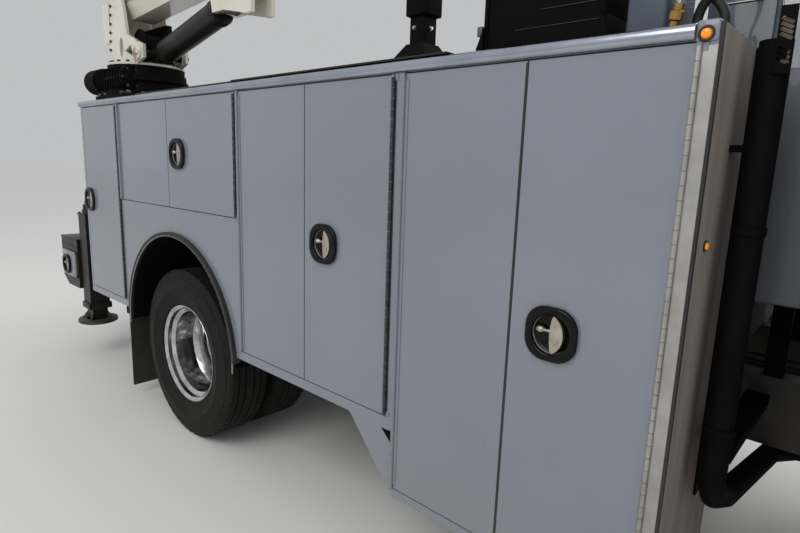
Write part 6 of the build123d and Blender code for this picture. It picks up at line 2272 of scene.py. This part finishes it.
    def pad(self, name: str, low: Vector, high: Vector, reach: float, form: str) -> Thing:
        """One crowned, closed pad with a seam groove, swelled by cloth under pressure.

        Args:
            name: The piece's name.
            low: One corner, in metres.
            high: The opposite corner, in metres.
            reach: How far a point may move, in mm.
            form: cushion, backrest or headrest.

        Returns:
            The pad.
        """
        inset = Vector((0.003, 0.003, 0.003))
        made = block(name, low + inset, high - inset, 34, 5)
        with_modifier(made, "REMESH", mode="VOXEL", voxel_size=0.008)
        rest = [v.co.copy() for v in made.data.vertices]
        group = made.vertex_groups.new(name="held")
        side = 2 if form == "cushion" else 0
        under = [v.index for v in made.data.vertices if v.co[side] < low[side] + 0.008]
        group.add(under, 1.0, "REPLACE")
        cloth = made.modifiers.new("cloth", "CLOTH")
        for key, value in (
            ("quality", 4), ("mass", 0.3), ("use_pressure", True), ("uniform_pressure_force", 4.0),
            ("tension_stiffness", 18), ("compression_stiffness", 18), ("vertex_group_mass", "held"),
        ):
            setattr(cloth.settings, key, value)
        cloth.settings.effector_weights.gravity = 0
        cloth.collision_settings.use_collision = False
        for frame_number in range(1, 21):
            bpy.context.scene.frame_set(frame_number)
        graph = bpy.context.evaluated_depsgraph_get()
        swelled = [v.co.copy() for v in made.evaluated_get(graph).data.vertices]
        made.modifiers.remove(cloth)
        made.vertex_groups.clear()
        for corner, old, new in zip(made.data.vertices, rest, swelled):
            move = new - old
            if move.length > reach * MM:
                move = move.normalized() * reach * MM
            corner.co = old + move
        bpy.context.scene.frame_set(1)
        with_modifier(made, "SMOOTH", factor=0.5, iterations=3)
        if form != "headrest":
            self.channels(made, low, high, 0 if form == "cushion" else 2)
        return made

    @staticmethod
    def channels(pad: Thing, low: Vector, high: Vector, axis: int) -> None:
        """Cut two sewn channels across a finished pad, as deep as its swelled face asks.

        Args:
            pad: The pad.
            low: One corner of its box, in metres.
            high: The opposite corner, in metres.
            axis: The direction that the channels are spread along, 0 or 2.
        """
        other = 2 - axis
        for share in (0.34, 0.67):
            place = low[axis] + (high[axis] - low[axis]) * share
            face = max(v.co[other] for v in pad.data.vertices if abs(v.co[axis] - place) < 0.02)
            start, end = low.copy(), high.copy()
            start[axis] = end[axis] = place
            start[other] = end[other] = face + 0.003
            cut(pad, rod("channel", start - Vector((0, 0.02, 0)), end + Vector((0, 0.02, 0)), 11, 0, 12))

    def controls(self) -> None:
        """Steering wheel hub, gauges, vents, pedals, gear lever and floor mat."""
        hub = cab(*self.hub)
        axis = Vector((-0.72, 0, 0.5)).normalized()
        settle(turned("wheel_hub", [(0, 0), (66, 0), (74, 14), (60, 34), (0, 40)], hub, axis, 36), PLASTIC, ROOT)
        rings = []
        for y, z, r in ((410, 1690, 50), (590, 1690, 50), (500, 1722, 26), (330, 1680, 22), (670, 1680, 22)):
            section = [(r - 8, 0), (r, 0), (r, 8), (r - 3, 11), (r - 8, 8)]
            rings.append(turned("gauge", section, cab(1131, y, z), AFT, 32))
        piece("gauge_rings", rings, CHROME, ROOT)
        vents = [
            block("vane", cab(1122, y - 66, z), cab(1136, y + 66, z + 4), 1, 1)
            for y in (-820, -300, 60, 820) for z in range(1640, 1697, 14)
        ]
        piece("dash_vents", vents, GLOSS_PLASTIC, ROOT)
        feet = []
        for y, w, h in ((400, 30, 170), (510, 46, 120), (610, 46, 120)):
            feet.append(block("pedal", cab(1180, y - w, 1150), cab(1200, y + w, 1150 + h), 6))
            feet.append(rod("arm", cab(1196, y, 1150 + h - 30), cab(1362, y, 1440), 8))
        piece("pedals", feet, RUBBER, ROOT)
        lever = [
            turned("boot", [(0, 0), (90, 0), (80, 30), (40, 80), (20, 130), (0, 130)], cab(820, 40, 1120), UP, 28),
            rod("stick", cab(820, 40, 1240), cab(760, 60, 1560), 9),
            turned("knob", [(0, -10), (18, -6), (26, 10), (22, 30), (0, 38)], cab(760, 60, 1560), UP, 24),
        ]
        piece("gear_lever", lever, PLASTIC, ROOT)
        mat = block("floor_mat", cab(60, -990, 1120), cab(1340, 990, 1127), 3, 1)
        settle(mat, RUBBER, ROOT)

    def build(self) -> None:
        """Dress the cab."""
        self.doors()
        self.glass_edges()
        self.roof_gear()
        self.grips_and_steps()
        self.nose()
        self.seats()
        self.controls()


@dataclass
class Chassis:
    """Spring leaves, U-bolts, brake chambers, shock absorbers, air tanks, lines, bolts and flap hangers."""

    spring_y: float = 351.0
    leaf_half: float = 41.0
    leaf_pitch: float = 12.5
    leaf_thickness: float = 11.5
    chamber_y: float = 250.0
    shock_y: float = 244.0
    rail_face: float = 432.2

    def springs(self) -> None:
        """Leaf packs with their U-bolts and plates at both axles."""
        for name, x, half, z_middle, z_end, leaves, taper, low in (
            ("rear", REAR_AXLE, 640, 652, 736, 6, 0.12, 446), ("front", FRONT_AXLE, 560, 580, 731, 4, 0.05, 418),
        ):
            for side, word in WORDS.items():
                y = side * self.spring_y
                parts = []
                for i in range(leaves):
                    reach = 1 - taper * i
                    line = [
                        (share * half, z_middle + (z_end - z_middle) * max(abs(share) - 0.04, 0) - self.leaf_pitch * i)
                        for share in (-reach, -0.5, -0.1, 0.1, 0.5, reach)
                    ]
                    corners = [spot(x + u, y - self.leaf_half, z) for u, z in line]
                    corners += [
                        spot(x + u, y - self.leaf_half, z - self.leaf_thickness) for u, z in reversed(line)
                    ]
                    parts.append(prism("leaf", corners, ACROSS * 2 * self.leaf_half * MM, 1, 1))
                for u in (-54, 54):
                    shoulder, crown = z_middle + 6, z_middle + 14
                    bow = ((-50, low - 10), (-50, shoulder), (-42, crown), (42, crown), (50, shoulder), (50, low - 10))
                    parts.append(pipe("u_bolt", [spot(x + u, y + w, z) for w, z in bow], 9))
                parts.append(block("spring_plate", spot(x - 78, y - 60, low - 8), spot(x + 78, y + 60, low + 8), 4))
                piece(f"{name}_spring_{word}", parts, CHASSIS_PAINT, ROOT)

    def brakes(self) -> None:
        """Brake chambers and shock absorbers at the rear axle, and its cover bolts."""
        x, z = REAR_AXLE, HUB_Z
        for side, word in WORDS.items():
            y, shock_y = side * self.chamber_y, side * self.shock_y
            chamber = [
                turned("chamber", [
                    (0, 0), (66, 0), (80, 14), (80, 58), (86, 62), (86, 74), (80, 78), (80, 122), (60, 146), (0, 150),
                ], spot(x + 150, y, z + 40), Vector((1, 0, 0.1)), 40),
                rod("push_rod", spot(x + 40, y, z + 36), spot(x + 156, y, z + 42), 9),
                block("bracket", spot(x + 10, y - 50, z + 26), spot(x + 152, y + 50, z + 38), 3),
            ]
            piece(f"brake_chamber_{word}", chamber, CHASSIS_PAINT, ROOT)
            shock = [
                rod("shock", spot(x - 130, shock_y, 470), spot(x - 260, shock_y, 820), 30),
                rod("shock", spot(x - 200, shock_y, 660), spot(x - 290, shock_y, 900), 40),
            ]
            piece(f"shock_absorber_{word}", shock, CHASSIS_PAINT, ROOT)
        cover = ring_places(spot(x - 178, 0, z), AFT, 108, 12)
        bolts("axle_cover_bolts", cover, AFT, 17, 12, BARE_STEEL, ROOT)

    def air(self) -> None:
        """Air tanks between the rails, pipes along the rails, and the rails' bolts."""
        for i, x in enumerate((2700, 3420)):
            tank = turned(f"air_tank_{i}", [
                (0, -300), (50, -296), (96, -270), (110, -240), (110, 240), (96, 270), (50, 296), (0, 300),
            ], spot(x, -250, 880), AHEAD, 36)
            settle(tank, CHASSIS_PAINT, ROOT)
        lines = [
            pipe("line", [spot(x, y, z) for x in (1500, 2400, 3800, 5400)], 6)
            for y, z in ((-418, 800), (-418, 830), (418, 810), (418, 840))
        ]
        piece("chassis_lines", lines, RUBBER, ROOT)
        for side, word, outward in ((RIGHT, "right", OUTWARD), (LEFT, "left", ACROSS)):
            heads = [spot(x, side * self.rail_face, z) for x in range(200, 5000, 300) for z in (800, 960)]
            bolts(f"rail_bolts_{word}", heads, outward, 22, 12, CHASSIS_PAINT, ROOT)

    def flaps(self) -> None:
        """Hangers, tags and bolts of the mud flaps, and the propeller shaft's joint."""
        for side, word in WORDS.items():
            hanger = block(f"flap_hanger_{word}", spot(542, side * 596, 612), spot(580, side * 1196, 664), 4)
            settle(hanger, FLAT_BLACK_AND_SHADE, ROOT)
            tag = block(f"flap_tag_{word}", spot(556, side * 1112, 608), spot(586, side * 1190, 668), 4)
            settle(tag, SLATE_SHADED_PAINT, ROOT)
            heads = [spot(542, side * y, 638) for y in (640, 780, 920, 1060, 1160)]
            bolts(f"flap_bolts_{word}", heads, AFT, 16, 9, BARE_STEEL, ROOT)
        joint = turned("shaft_joint", [
            (0, -70), (56, -70), (70, -50), (70, -20), (46, -8), (46, 8), (70, 20), (70, 50), (56, 70), (0, 70),
        ], spot(REAR_AXLE + 400, 0, 566), Vector((1, 0, 0.1)), 32)
        settle(joint, CHASSIS_PAINT, ROOT)

    def build(self) -> None:
        """Dress the chassis."""
        self.springs()
        self.brakes()
        self.air()
        self.flaps()


def main() -> None:
    """Build the studio and dress each sub-assembly in order."""
    logging.basicConfig(level=logging.INFO, format="%(message)s")
    Studio().build()
    dress_cad_nodes()
    for part in (Wheels(), ServiceBody(), Crane(), Outrigger(), WorkBench(), RoofGear(), Cab(), Chassis()):
        LOG.info("building %s", type(part).__name__)
        part.build()


if __name__ == "__main__":
    main()
